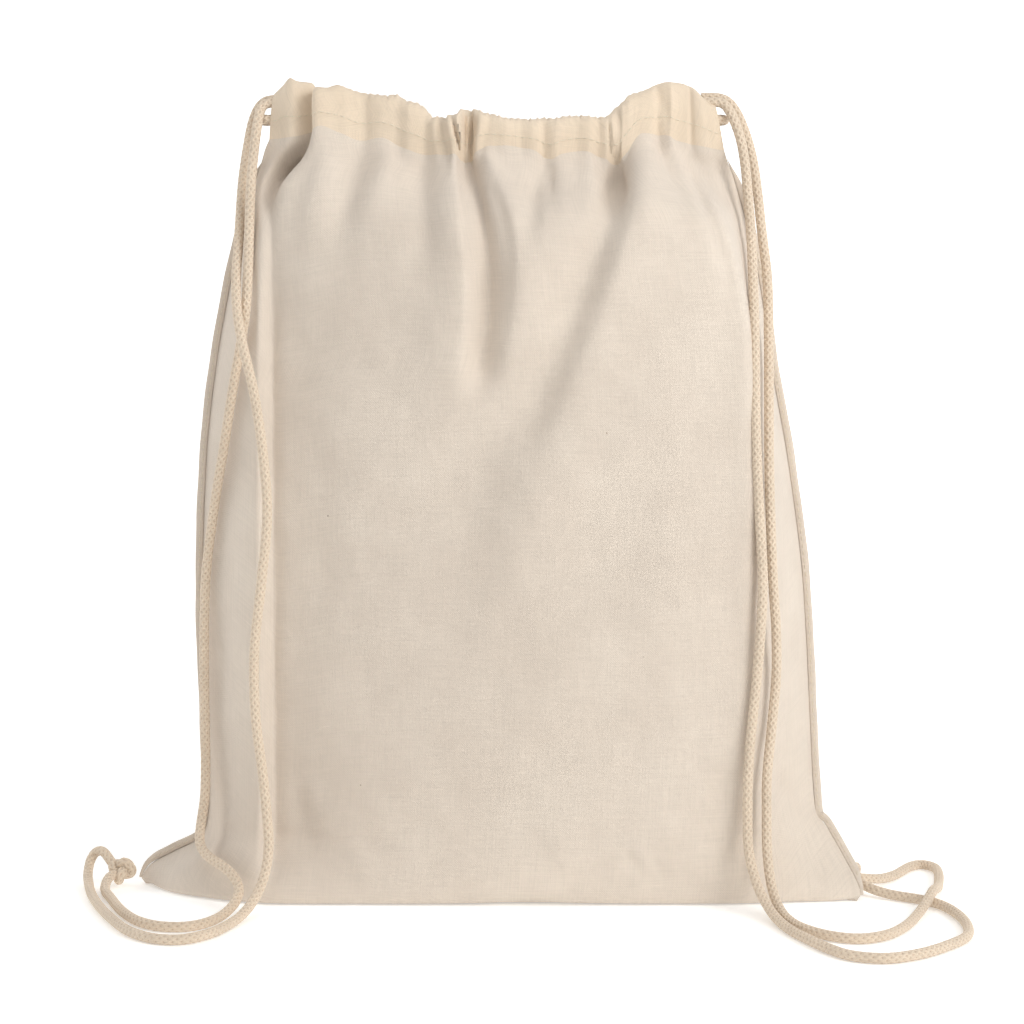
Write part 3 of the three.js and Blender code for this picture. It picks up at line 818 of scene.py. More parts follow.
BACK_FOLDS = (
    (((-40, 352), (-36, 330), (-30, 300), (-26, 262), (-28, 220)), (3, 12), (3, 10), -6.5, 0.06),
    (((-50, 352), (-50, 330), (-46, 296), (-42, 250)), (4, 18), (3, 9), 3.6, 0.12),
    (((18, 350), (16, 328), (8, 296), (-2, 256)), (3, 10), (3, 12), -5.5, 0.06),
    (((30, 350), (30, 326), (26, 294), (18, 250)), (3, 9), (4, 20), 3.4, 0.12),
    (((66, 352), (60, 326), (50, 292), (38, 250)), (4, 12), (4, 12), -4.4, 0.08),
    (((-74, 352), (-80, 322), (-84, 286)), (4, 10), (4, 10), -3.2, 0.12),
    (((-4, 350), (-6, 330), (-10, 300)), (4, 9), (4, 9), 2.2, 0.15),
    (((82, 352), (86, 330), (90, 300)), (4, 8), (4, 8), 2.2, 0.15),
    (((10, 230), (-2, 170), (-8, 100)), (16, 20), (16, 20), -2.2, 0.25),
    (((60, 220), (66, 150), (62, 80)), (16, 18), (16, 18), 1.7, 0.3),
    (((-58, 230), (-54, 160), (-60, 90)), (16, 18), (16, 18), 1.6, 0.3),
    (((-50, 30), (-38, 16), (-24, 7)), (4, 6), (4, 6), -1.2, 0.3),
    (((44, 32), (56, 18), (70, 9)), (4, 6), (4, 6), 1.2, 0.3),
)

# How far the front stands forward of its flat plan, across the bag.
FRONT_BELLY = (
    (-140, 0), (-112, -9), (-104, -24), (-97, -22), (-86, -17.5), (-70, -12), (-40, -5),
    (0, 0.8), (40, 3.6), (74, 3.6), (96, 1.5), (108, 0), (150, 0),
)
FOOT_LIFT = ((-110, 0), (-60, 0.3), (-20, 0.8), (14, 3.4), (44, 1.0), (70, 0.4), (96, 0.2), (120, 0))


def ridge(x: np.ndarray, z: np.ndarray, fold: tuple) -> np.ndarray:
    """Height of one fold over the cloth: a bell curve across it, fading at its ends.

    Each point of the cloth is measured from the nearest of the fold's straight pieces.

    Args:
        x: across the cloth.
        z: up the cloth.
        fold: points, both widths to the left and to the right, height and fading share.

    Returns:
        How far the fold stands out at each point of the cloth.
    """
    points, left, right, height, fade = fold
    line = smooth_curve(np.array([(px, pz, 0.0) for px, pz in points]), 6.0)[:, :2]
    run = lengths(line)
    best = np.full(x.shape, 1e9)
    along = np.zeros(x.shape)
    beside = np.zeros(x.shape)
    for (ax, az), (bx, bz), start, end in zip(line[:-1], line[1:], run[:-1], run[1:]):
        dx, dz = bx - ax, bz - az
        t = np.clip(((x - ax) * dx + (z - az) * dz) / (dx * dx + dz * dz), 0, 1)
        away = np.hypot(x - ax - t * dx, z - az - t * dz)
        nearer = away < best
        best = np.where(nearer, away, best)
        along = np.where(nearer, (start + t * (end - start)) / run[-1], along)
        beside = np.where(nearer, dx * (z - az) - dz * (x - ax), beside)
    widths = [first + (last - first) * along for first, last in (left, right)]
    width = np.where(beside > 0, widths[1], widths[0])
    ends = step(along, -0.02, fade) * (1 - step(along, 1 - 3 * fade, 1.02))
    return height * np.exp(-((best / width) ** 2)) * ends


def ripple(x: np.ndarray, z: np.ndarray, seed: int, longest: float, height: float) -> np.ndarray:
    """Uneven slackness: fourteen long waves added, each with its own direction and length."""
    draw = np.random.default_rng(seed)
    total = np.zeros(x.shape)
    for _ in range(14):
        angle, phase = draw.uniform(0, math.pi), draw.uniform(0, 2 * math.pi)
        length = longest * draw.uniform(0.35, 1.0)
        total += length / longest * np.sin(
            2 * math.pi * (x * math.cos(angle) + z * math.sin(angle)) / length + phase
        )
    return total * height / 3.0


@dataclass
class Sack:
    """The sack's two panels, each with its casing. Sizes are in millimetres."""

    flank_columns: int = 44       # steps from a side seam to the face
    face_columns: int = 196       # steps across a face
    bottom_rows: int = 15         # steps under the sack
    foot_rows: int = 24           # steps up to knee
    knee: float = 40.0
    wall_rows: int = 76           # steps from knee to shoulder
    shoulder: float = 290.0
    neck_rows: int = 36           # steps from shoulder to the stitching
    casing_rows: int = 26         # steps round the casing
    rounding: float = 3.6         # how softly the upright corners turn, in steps
    cloths: dict = field(default_factory=dict)

    def heights(self) -> np.ndarray:
        """The rows' heights, closest together at the foot and the neck."""
        return np.concatenate([
            np.linspace(0, self.knee, self.foot_rows + 1)[:-1],
            np.linspace(self.knee, self.shoulder, self.wall_rows + 1)[:-1],
            np.linspace(self.shoulder, FOLD_LEVEL, self.neck_rows + 1),
        ])

    def outline(self, z: np.ndarray, side: Side) -> np.ndarray:
        """Corner points of each row's plan: seam, strip, recess, face, and back to a seam.

        The strip and the recess lie along the straight flank, and where the left shoulder
        is pleated they move: the strip forward, the recess back, and the face's edge out.

        Args:
            z: the rows' heights.
            side: the front or the back.

        Returns:
            Eight points (x, y, z) for each row.
        """
        table = np.array(LEVELS, float)
        depth, fl, sl, ul, fr, sr, ur, lean, swell = through(z, table[:, 0], table[:, 1:]).T
        sign = side.value
        near = SEAM_GAP + step(z, 340, FOLD_LEVEL) * 7.4
        neck = step(z, NECK_LOW, FOLD_LEVEL)
        drawn_l, drawn_r = (
            1 + (hem_y(x) / hem_y(MOUTH_MIDDLE) - 1) * neck for x in (-fl, fr)
        )
        seam_l = np.stack([-sl, sign * near, ul], 1)
        seam_r = np.stack([sr, sign * near - lean, ur], 1)
        fold_l = np.stack([-fl, sign * depth * drawn_l, z], 1)
        fold_r = np.stack([fr, sign * depth * drawn_r, z], 1)
        push = np.stack([-0.8 * swell, sign * 0.6 * swell, 0 * z], 1)
        strip_l, recess_l = (seam_l + (fold_l - seam_l) * t + push * 4 * t * (1 - t) for t in (0.42, 0.8))
        strip_r, recess_r = (seam_r + (fold_r - seam_r) * t for t in (0.42, 0.8))
        pleat = step(z, 312, 334)
        high = step(z, 340, FOLD_LEVEL)
        low = pleat * (1 - high)
        strip_l[:, 0] += 3.6 * high - 1.5 * pleat
        strip_l[:, 1] += sign * (3.0 * low + 6.0 * high)
        recess_l[:, 0] += 2.5 * low + 6.0 * high
        recess_l[:, 1] -= sign * (22.0 * low + 5.0 * high)
        fold_l[:, 0] -= 1.0 * pleat + 0.8 * high
        fold_l[:, 1] += sign * (5.0 * low + PLEAT_FORWARD * high)
        recess_r[:, 1] -= sign * 4.0 * low
        return np.stack([seam_l, strip_l, recess_l, fold_l, fold_r, recess_r, strip_r, seam_r], 1)

    def columns(self) -> tuple:
        """The outline's piece that each column lies on, and how far along that piece."""
        flank = np.linspace(0, 1, self.flank_columns + 1)[:-1]
        piece = np.searchsorted([0.42, 0.8], flank, side="right")
        start, end = np.array([0, 0.42, 0.8])[piece], np.array([0.42, 0.8, 1.0])[piece]
        share = (flank - start) / (end - start)
        face = np.linspace(0, 1, self.face_columns + 1)[:-1]
        back_piece = 6 - piece[::-1]
        back_share = np.append(1 - share[::-1], 0)[:-1]
        pieces = np.concatenate([piece, np.full(len(face), 3), [4], back_piece])
        shares = np.concatenate([share, face, [0.0], back_share])
        return np.clip(pieces, 0, 6), np.where(pieces > 6, 1.0, shares)

    def wall(self, side: Side) -> np.ndarray:
        """The panel above the floor: the outlines, rounded, crowned and drawn in to the mouth."""
        z = self.heights()
        corners = self.outline(z, side)
        piece, share = self.columns()
        points = corners[:, piece] * (1 - share)[None, :, None]
        points = points + corners[:, piece + 1] * share[None, :, None]
        depth = through(z, np.array(LEVELS, float)[:, 0], np.array(LEVELS, float)[:, 1])
        neck = step(z, NECK_LOW, FOLD_LEVEL)[:, None]
        on_face = piece == 3
        x = points[:, on_face, 0]
        plain = side.value * depth * (1 + (hem_y(x) / hem_y(MOUTH_MIDDLE) - 1) * neck)
        for corner in (3, 4):
            at, forward = corners[:, corner, 0][:, None], corners[:, corner, 1][:, None]
            there = side.value * depth * (1 + (hem_y(at) / hem_y(MOUTH_MIDDLE) - 1) * neck)
            plain = plain + (forward - there) * np.exp(-(((x - at) / 14.0) ** 2))
        points[:, on_face, 1] = plain
        points = soften(points, self.rounding, axis=1)
        face = np.clip((points[..., 0] + 104) / 220, 0, 1)
        points[..., 1] += side.value * FACE_CROWN * np.sin(math.pi * face)
        if side is Side.FRONT:
            full = np.clip(np.abs(points[..., 1]) / 50, 0, 1) * step(z, 2, 30)[:, None] * (1 - neck)
            points[..., 1] -= follow(points[..., 0], FRONT_BELLY) * full
            lift = follow(points[..., 0], FOOT_LIFT) * step(np.abs(points[..., 1]), 20, 46)
            points[..., 2] += lift * np.exp(-z / 7.0)[:, None]
        drop = follow(points[..., 0], STITCH_LINE) - (0 if side is Side.FRONT else BACK_STITCH_DROP)
        points[..., 2] += (drop - FOLD_LEVEL) * step(z, 296, FOLD_LEVEL)[:, None] * step(
            np.abs(points[..., 1]), 0.0, 5.0
        )
        return points

    def under(self, foot: np.ndarray, side: Side) -> np.ndarray:
        """The part under the sack, drawn straight from the bottom seam out to the foot.

        Args:
            foot: the wall's lowest row.
            side: the front or the back.

        Returns:
            The rows from the seam outwards, without the foot itself.
        """
        share = np.linspace(0, 1, self.bottom_rows + 1)[:-1, None]
        x, y, z = foot.T
        lean = LEVELS[0][8] * np.clip((x - 112) / (168.5 - 112), 0, 1)
        seam_y = side.value * 0.3 - lean
        tip = np.clip((np.abs(x) - 150) / 18.5, 0, 1) ** 2
        wide = x * (1 - 0.012 * tip * (1 - share))
        lift = 0.15 + (z - 0.15) * share * tip
        return np.stack([wide, seam_y + (y - seam_y) * share, np.broadcast_to(lift, wide.shape)], -1)

    def folded(self, points: np.ndarray, side: Side) -> np.ndarray:
        """Moves the wall along its normals by all its folds, puckers and slackness."""
        x, z = points[..., 0], points[..., 2]
        front = side is Side.FRONT
        height = sum(ridge(x, z, fold) for fold in (FRONT_FOLDS if front else BACK_FOLDS))
        height = height + ripple(x, z, 5 if front else 11, 90.0, 0.55)
        height = height + ripple(x, z, 23 if front else 31, 26.0, 0.16)
        top = follow(x, STITCH_LINE)
        for place, width, tall, reach in PUCKERS if front else BACK_PUCKERS:
            below = np.clip((top - z) / reach, 0, 1)
            wide = width * (1 + 1.3 * below)
            away = (x - leaning(place, 0 * z, side)) / wide
            height = height + PUCKER_DEPTH * tall * np.exp(-(away**2)) * (1 - below) ** 2
        if front:
            for lap in LAPS:
                place = follow(z, lap[0])
                height = height + lapped(x - place, lap) * step(z, lap[5], lap[5] + 20)
        edge = step(np.minimum(np.arange(x.shape[1]), np.arange(x.shape[1])[::-1]), 0, 9)
        low = step(np.arange(x.shape[0]), 0, 5)[:, None]
        normal = outward_of(points)
        normal *= np.sign(np.sum(normal[..., 1] * side.value))
        moved = points + normal * (height * edge * low)[..., None]
        moved[..., 2] = np.maximum(moved[..., 2], FLOOR_GAP)
        return moved

    def casing(self, hem: np.ndarray, side: Side) -> np.ndarray:
        """The folded-over casing, as a flattened tube that starts and ends at the stitching.

        Its section is a rounded lozenge: out from the stitches, up the outer face, over the
        top and down inside. The top edge's height comes from its table. Puckers are bell
        curves across the casing and lapped folds are steps. Both move its outer face.

        Args:
            hem: the wall's top row, which the stitching follows.
            side: the front or the back.

        Returns:
            The casing's rows, the first of which is the hem itself.
        """
        section = np.array([
            (HEM_OUT, 0.0), (0.93, 0.08), (0.96, 0.18), (1.0, 0.32), (1.03, 0.50), (1.02, 0.68),
            (0.95, 0.83), (0.76, 0.94), (0.40, 1.0), (0.0, 1.02), (-0.45, 0.98), (-0.82, 0.89),
            (-0.98, 0.74), (-1.0, 0.52), (-0.95, 0.30), (-0.72, 0.13), (-0.20, 0.02),
            (0.45, -0.05),
        ])
        run = lengths(section)
        even = np.linspace(0, run[-1], self.casing_rows + 1)
        out, up = (np.interp(even, run, section[:, k]) for k in range(2))
        front = side is Side.FRONT
        x, y, z = hem.T
        plan = np.gradient(soften(hem[:, :2], 9.0, 0), axis=0)
        plan /= np.maximum(np.linalg.norm(plan, axis=1, keepdims=True), 1e-9)
        facing = np.stack([plan[:, 1], -plan[:, 0]], 1) * (1 if front else -1)
        half = tunnel_half(x)
        top = follow(x, TOP_EDGE) - (0 if front else BACK_TOP_DROP)
        tall = top - z
        # The stitching already carries each pucker, so the casing adds only what changes from
        # there up to its top edge.
        share = np.clip(up, 0, 1)[:, None]
        puff = np.zeros((len(out), len(x)))
        for place, width, stands, _ in PUCKERS if front else BACK_PUCKERS:
            for level, way in ((share, 1), (0 * share, -1)):
                away = (x[None] - leaning(place, level, side)) / width
                puff += way * PUCKER_DEPTH * stands * np.exp(-(away**2))
        if front:
            for lap in LAPS:
                for level, way in ((z[None] + share * tall[None], 1), (z[None], -1)):
                    puff += way * lapped(x[None] - follow(level, lap[0]), lap)
        outer = step(out, -0.35, 0.6)[:, None]
        swell = np.sin(math.pi * np.clip(up, 0.22, 0.86))[:, None] ** 0.5
        # An outer face is pressed in no further than the cord behind it. Any more than that
        # moves both faces, and the cord with them.
        room = half[None] - CLOTH - CORD / MM / 2 - 0.25
        pressed = np.maximum(puff, -room)
        swell = swell * step(up, 0, 0.3)[:, None]
        reach = half[None] * (out[:, None] - HEM_OUT) + (pressed * outer + puff - pressed) * swell
        rows = np.empty((len(out), len(x), 3))
        # The ends slope: the seams below pull each casing's lower edge outwards.
        lean_l, lean_r = 1.8 * step(-x, 88, 107), 4.2 * step(x, 84, 106)
        rows[..., 0] = x[None] + facing[None, :, 0] * reach + up[:, None] * (lean_l - lean_r)[None]
        rows[..., 1] = y[None] + facing[None, :, 1] * reach
        rows[..., 2] = z[None] + up[:, None] * tall[None]
        # Tiny crimps along the top edge, where the gathered cloth turns over the cords.
        crimp = 0.35 * np.sin(x * 2.1) + 0.25 * np.sin(x * 3.7 + 1.0)
        rows[..., 2] += (crimp * step(bow(x), 0.3, 0.8))[None] * step(up, 0.6, 1.0)[:, None]
        rows[0] = hem
        return rows

    def sew(self, side: Side) -> None:
        """Makes one panel and its casing, gives both their thickness and lets the mouth open."""
        wall = self.folded(self.wall(side), side)
        panel = np.concatenate([self.under(wall[0], side), wall])
        panel = soften(panel, 1.1, axis=0)
        panel[..., 2] = np.maximum(panel[..., 2], FLOOR_GAP)
        casing = self.casing(panel[-1], side)
        whole = np.concatenate([panel, casing[1:]])
        centre = whole.shape[1] // 2
        across = lengths(whole, axis=1)
        across -= across[:, centre : centre + 1]
        cut = np.stack([across, np.broadcast_to(lengths(whole, axis=0), across.shape)], -1) * MM
        hem_row = len(panel) - 1
        parts = (
            ("panel", slice(0, hem_row + 1), SACK_COTTON, "sack_cotton"),
            ("casing", slice(hem_row, None), HEM_COTTON, "hem_cotton"),
        )
        for part, rows, finish, slot in parts:
            name = f"{side.word}_{part}"
            points, uv = whole[rows] * MM, cut[rows]
            faces = grid_faces(*points.shape[:2], turned=side is Side.BACK)
            cloth = build(f"{name}_cloth", points.reshape(-1, 3), faces, uv.reshape(-1, 2))
            wall_of_cloth = cloth.modifiers.new("thickness", "SOLIDIFY")
            wall_of_cloth.thickness = CLOTH * MM
            wall_of_cloth.offset = -1.0
            apply_modifiers(cloth)
            cloth.data.set_sharp_from_angle(angle=math.radians(62))
            dress(cloth, MATERIALS[finish.name])
            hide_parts(name)
            place = vertices_of(cloth) / MM
            y = side.value * 0.020
            bend(
                cloth, "sack", f"{side.word}_mouth",
                (0, y, OPEN_LOW * MM), (0, y, OPEN_HIGH * MM), opening_share(place[:, 0]),
            )
            self.cloths[name] = cloth
            LOG.info("%s: %d vertices", cloth.name, len(cloth.data.vertices))
        self.cloths[f"{side.word}_hem"] = panel[-1]
        self.cloths[f"{side.word}_outer"] = casing


MATERIALS: dict = {}


@dataclass
class Stitching:
    """A row of stitches: short threads that dip into the cloth at both ends. Millimetres."""

    name: str
    long: float = 2.7
    gap: float = 0.7
    thick: float = 0.55
    rings: int = 6
    sides: int = 5

    def make(self, line: np.ndarray, facing: np.ndarray) -> bpy.types.Object:
        """Sews along a line.

        Each stitch is a tube whose middle arches out and whose ends sink in, as half a
        wave, and whose thickness swells with the same wave.

        Args:
            line: the points the row follows.
            facing: the cloth's outward direction at each of them.

        Returns:
            The row of stitches.
        """
        run = lengths(line)
        count = int(run[-1] / (self.long + self.gap))
        start = np.linspace(0, run[-1] - self.long, count)[:, None]
        share = np.linspace(0, 1, self.rings)[None]
        at = start + share * self.long
        place = np.stack([np.interp(at, run, line[:, k]) for k in range(3)], -1)
        out = np.stack([np.interp(at, run, facing[:, k]) for k in range(3)], -1)
        out /= np.linalg.norm(out, axis=-1, keepdims=True)
        ahead = np.gradient(place, axis=1)
        ahead /= np.linalg.norm(ahead, axis=-1, keepdims=True)
        beside = np.cross(out, ahead)
        wave = np.sin(math.pi * share)[..., None]
        middle = place + out * (0.42 * wave - 0.18) * self.thick
        angle = np.linspace(0, 2 * math.pi, self.sides, endpoint=False)
        radius = (self.thick / 2 * (0.45 + 0.55 * wave))[..., None]
        points = middle[:, :, None] + radius * (
            np.cos(angle)[None, None, :, None] * out[:, :, None]
            + np.sin(angle)[None, None, :, None] * beside[:, :, None]
        )
        size = self.rings * self.sides
        r, k = np.meshgrid(np.arange(self.rings - 1), np.arange(self.sides), indexing="ij")
        right = (k + 1) % self.sides
        one = np.stack([
            r * self.sides + k, r * self.sides + right,
            (r + 1) * self.sides + right, (r + 1) * self.sides + k,
        ], -1).reshape(-1, 4)
        faces = (np.arange(count)[:, None, None] * size + one[None]).reshape(-1, 4)
        flat = points.reshape(-1, 3) * MM
        a, b, c = flat[faces[:, 0]], flat[faces[:, 1]], flat[faces[:, 2]]
        centre = np.repeat(middle.mean(axis=1), len(one), axis=0) * MM
        if np.sum(np.cross(b - a, c - a) * (a - centre)) < 0:
            faces = faces[:, ::-1]
        uv = np.stack(np.broadcast_arrays(
            (np.arange(self.sides) / self.sides)[None, None], (at * MM)[..., None]
        ), -1).reshape(-1, 2)
        return build(self.name, flat, faces, uv)


def stitch_ends(piece: bpy.types.Object) -> None:
    """Joins the points that meet at the pointed ends of a piece's threads."""
    weld = piece.modifiers.new("weld", "WELD")
    weld.merge_threshold = 1e-5
    apply_modifiers(piece)


@dataclass
class Seams:
    """The side seams' rims, the bottom seam's inner strip and all the stitching."""

    rim: float = 3.5              # how far a side seam's rim stands out
    rim_thick: float = 1.8        # its thickness, four layers of cloth
    row_out: float = 1.7          # from the seam to its row of stitches
    bend_level: float = 44.0      # below it the seam runs out to its corner
    top: float = 346.5            # where a rim ends, just under the casings
    rows: int = 230               # rings along a rim
    sides: int = 14               # points round a rim

    def line(self, hand: Hand, count: int) -> tuple:
        """The side seam's line, and how it leans.

        Args:
            hand: the left or the right seam.
            count: how many points to give.

        Returns:
            The seam's points, and the direction straight out from each.
        """
        table = np.array(LEVELS, float)
        low = np.linspace(0, self.bend_level, count // 3)[:-1]
        z = np.concatenate([low, np.linspace(self.bend_level, self.top, count - len(low))])
        values = through(z, table[:, 0], table[:, 1:])
        if hand is Hand.LEFT:
            seam, up, lean = values[:, 2], values[:, 3], 0 * z
        else:
            seam, up, lean = values[:, 5], values[:, 6], values[:, 7]
        points = np.stack([hand.value * seam, -lean, up], 1)
        ahead = np.gradient(points, axis=0)
        ahead /= np.linalg.norm(ahead, axis=1, keepdims=True)
        out = np.stack([ahead[:, 2], 0 * z, -ahead[:, 0]], 1) * hand.value
        out /= np.maximum(np.linalg.norm(out, axis=1, keepdims=True), 1e-9)
        return points, out

    def edge(self, hand: Hand) -> None:
        """One side seam's rim: a rounded strip along the seam, a little wavy, and its stitches."""
        points, out = self.line(hand, self.rows)
        run = lengths(points)
        wave = 0.35 * np.sin(run / 9.0 + hand.value) + 0.25 * np.sin(run / 4.3)
        end = step(run, 0, 8) * step(run[-1] - run, 0, 8)
        angle = np.linspace(0, 2 * math.pi, self.sides, endpoint=False)
        flat = np.sign(np.cos(angle)) * np.abs(np.cos(angle)) ** 0.55
        thick = np.sign(np.sin(angle)) * np.abs(np.sin(angle)) ** 0.7
        reach = 0.1 + (self.rim + 0.35 * wave) / 2
        away = step(run[-1] - run, -1, 22) ** 0.7 * (0.35 + 0.65 * step(run, -1, 16))
        rings = points[:, None] + out[:, None] * ((reach * away)[:, None] * (1 + flat[None]))[..., None]
        forward = np.array([0.0, 1.0, 0.0])
        body = (self.rim_thick / 2 + 0.12 * wave) * (0.75 + 0.25 * end) * (0.25 + 0.75 * away)
        rings = rings + forward * (thick[None] * body[:, None] + 0.5 * wave[:, None])[..., None]
        around = np.linspace(0, 2 * (self.rim + self.rim_thick), self.sides + 1)
        uv = np.stack(np.broadcast_arrays(around[None], run[:, None]), -1) * MM
        name = f"{hand.word}_side_seam"
        rim = carry(f"{name}_rim", rings * MM, uv)
        dress(rim, MATERIALS["sack_cotton"])
        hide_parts(name)
        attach(rim, "sack")
        LOG.info("%s: %d vertices", rim.name, len(rim.data.vertices))
        keep = (run > 9) & (run < run[-1] - 20)
        lift = (self.rim_thick / 2 + 0.12 * wave)[:, None]
        middle = points + out * self.row_out + forward * (0.5 * wave)[:, None]
        front = middle - forward * lift
        row = Stitching(f"{hand.word}_seam_stitches").make(front[keep], np.tile(-forward, (keep.sum(), 1)))
        stitch_ends(row)
        dress(row, MATERIALS["thread"])
        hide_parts(f"{hand.word}_seam_stitching")
        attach(row, "sack")
        back = middle + forward * lift
        rear = Stitching(f"{hand.word}_seam_stitches_back").make(
            back[keep], np.tile(forward, (keep.sum(), 1))
        )
        stitch_ends(rear)
        dress(rear, MATERIALS["thread"])
        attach(rear, "sack")

    def allowance(self) -> None:
        """The seam allowance that lies inside along the bottom, as a low wavy strip."""
        low, high = (np.array(c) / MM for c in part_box("bottom_seam"))
        x = np.linspace(low[0], high[0], 120)
        angle = np.linspace(0, 2 * math.pi, 12, endpoint=False)
        wide = (high[1] - low[1]) / 2 + 0.5 * np.sin(x / 7.0)
        y = 0.6 * np.sin(x / 16.0)[:, None] + wide[:, None] * np.sign(np.cos(angle)) * np.abs(
            np.cos(angle)
        ) ** 0.5
        middle = (low[2] + high[2]) / 2 + 0.15 * np.sin(x / 5.0)
        z = middle[:, None] + (high[2] - low[2]) / 2 * np.sin(angle)[None]
        rings = np.stack([np.broadcast_to(x[:, None], y.shape), y, z], -1)
        around = np.linspace(0, 18, 13)
        uv = np.stack(np.broadcast_arrays(around[None], x[:, None]), -1) * MM
        strip = carry("bottom_seam_allowance", rings * MM, uv)
        dress(strip, MATERIALS["sack_cotton"])
        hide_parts("bottom_seam")
        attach(strip, "sack")
        LOG.info("%s", strip.name)

    def hem_row(self, side: Side, hem: np.ndarray, outer: np.ndarray) -> None:
        """The row of stitches that closes a casing, just above its lower edge."""
        line = outer[2].copy()
        out = outer[3] - hem
        out[:, 2] = 0
        plan = np.gradient(line[:, :2], axis=0)
        facing = np.stack([plan[:, 1], -plan[:, 0], 0 * plan[:, 0]], 1) * -side.value
        facing /= np.maximum(np.linalg.norm(facing, axis=1, keepdims=True), 1e-9)
        row = Stitching(f"{side.word}_casing_stitches").make(line[2:-2], facing[2:-2])
        stitch_ends(row)
        dress(row, MATERIALS["thread"])
        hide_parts(f"{side.word}_casing_stitching")
        place = vertices_of(row) / MM
        y = side.value * 0.020
        bend(
            row, "sack", f"{side.word}_mouth",
            (0, y, OPEN_LOW * MM), (0, y, OPEN_HIGH * MM), opening_share(place[:, 0]),
        )
        LOG.info("%s", row.name)


# ---- Cords -----------------------------------------------------------------------------------

# Each route runs from the end of a casing, down the side and over the floor to its knot.
LEFT_FRONT = (
    (-0.1098, -0.0059, 0.3712), (-0.1115, -0.0075, 0.3665), (-0.1126, -0.0096, 0.3595),
    (-0.1138, -0.0128, 0.348), (-0.1147, -0.016, 0.336), (-0.1153, -0.0185, 0.322),
    (-0.1155, -0.0225, 0.305), (-0.1158, -0.0267, 0.288), (-0.1169, -0.0288, 0.272),
    (-0.1195, -0.0273, 0.257), (-0.1228, -0.0257, 0.24), (-0.1277, -0.0215, 0.212),
    (-0.1333, -0.0152, 0.182), (-0.1378, -0.011, 0.15), (-0.139, -0.0102, 0.118),
    (-0.139, -0.01, 0.088), (-0.1386, -0.012, 0.06), (-0.1388, -0.015, 0.044),
    (-0.1403, -0.021, 0.031), (-0.1396, -0.029, 0.0245),
    (-0.1345, -0.0385, 0.0205), (-0.1275, -0.048, 0.0185), (-0.1215, -0.0565, 0.0155),
    (-0.118, -0.064, 0.011), (-0.1188, -0.072, 0.007), (-0.1226, -0.083, 0.0038),
    (-0.1285, -0.095, 0.0025), (-0.138, -0.105, 0.0025), (-0.1495, -0.104, 0.0025),
    (-0.16, -0.094, 0.0025), (-0.1695, -0.075, 0.0025), (-0.1793, -0.045, 0.0025),
    (-0.185, -0.025, 0.003), (-0.1844, -0.0116, 0.0062),
)
LEFT_BACK = (
    (-0.1095, 0.0056, 0.3735), (-0.1128, 0.005, 0.3704), (-0.1158, 0.0042, 0.3632),
    (-0.1178, 0.0026, 0.353), (-0.119, -0.0005, 0.344), (-0.1198, -0.0048, 0.335),
    (-0.1203, -0.011, 0.322), (-0.1207, -0.018, 0.306), (-0.1213, -0.0262, 0.288),
    (-0.12, -0.0336, 0.272), (-0.117, -0.038, 0.257), (-0.1125, -0.043, 0.24),
    (-0.1076, -0.05, 0.212), (-0.1052, -0.0536, 0.182), (-0.1082, -0.052, 0.15),
    (-0.112, -0.047, 0.118), (-0.1116, -0.0476, 0.088), (-0.108, -0.053, 0.062),
    (-0.106, -0.056, 0.044), (-0.105, -0.0585, 0.028),
    (-0.1065, -0.064, 0.017), (-0.1095, -0.072, 0.0095), (-0.1142, -0.084, 0.004),
    (-0.1198, -0.102, 0.0025), (-0.127, -0.12, 0.0025), (-0.137, -0.13, 0.0025),
    (-0.148, -0.1285, 0.0025), (-0.1605, -0.1155, 0.0025), (-0.1735, -0.087, 0.0025),
    (-0.1865, -0.048, 0.0025), (-0.1935, -0.018, 0.003), (-0.1965, 0, 0.0065),
    (-0.1955, 0.008, 0.0125), (-0.191, 0.0055, 0.0155), (-0.1849, -0.0024, 0.0107),
)
RIGHT_FRONT = (
    (0.1055, -0.0059, 0.3716), (0.1082, -0.0078, 0.3675), (0.1108, -0.0102, 0.3615),
    (0.1134, -0.0125, 0.353), (0.1152, -0.0138, 0.342), (0.1163, -0.016, 0.329),
    (0.1173, -0.0225, 0.311), (0.1172, -0.035, 0.29), (0.1172, -0.0455, 0.266),
    (0.1173, -0.0486, 0.238), (0.1182, -0.0505, 0.206), (0.1196, -0.0518, 0.178),
    (0.121, -0.0528, 0.15), (0.1202, -0.053, 0.128), (0.1185, -0.0536, 0.106),
    (0.1158, -0.0552, 0.08), (0.1145, -0.0563, 0.06), (0.1143, -0.057, 0.044),
    (0.1146, -0.061, 0.028), (0.1175, -0.0695, 0.0145),
    (0.1223, -0.083, 0.0052), (0.1273, -0.106, 0.0025), (0.1345, -0.13, 0.0025),
    (0.1415, -0.148, 0.0025), (0.1495, -0.1605, 0.0025), (0.1625, -0.165, 0.0025),
    (0.178, -0.157, 0.0025), (0.194, -0.1395, 0.0025), (0.2037, -0.124, 0.0025),
    (0.2078, -0.1015, 0.0025), (0.207, -0.077, 0.0025), (0.2023, -0.058, 0.0025),
    (0.194, -0.0465, 0.0025), (0.184, -0.0385, 0.0026), (0.176, -0.0315, 0.0036),
    (0.171, -0.0259, 0.0052),
)
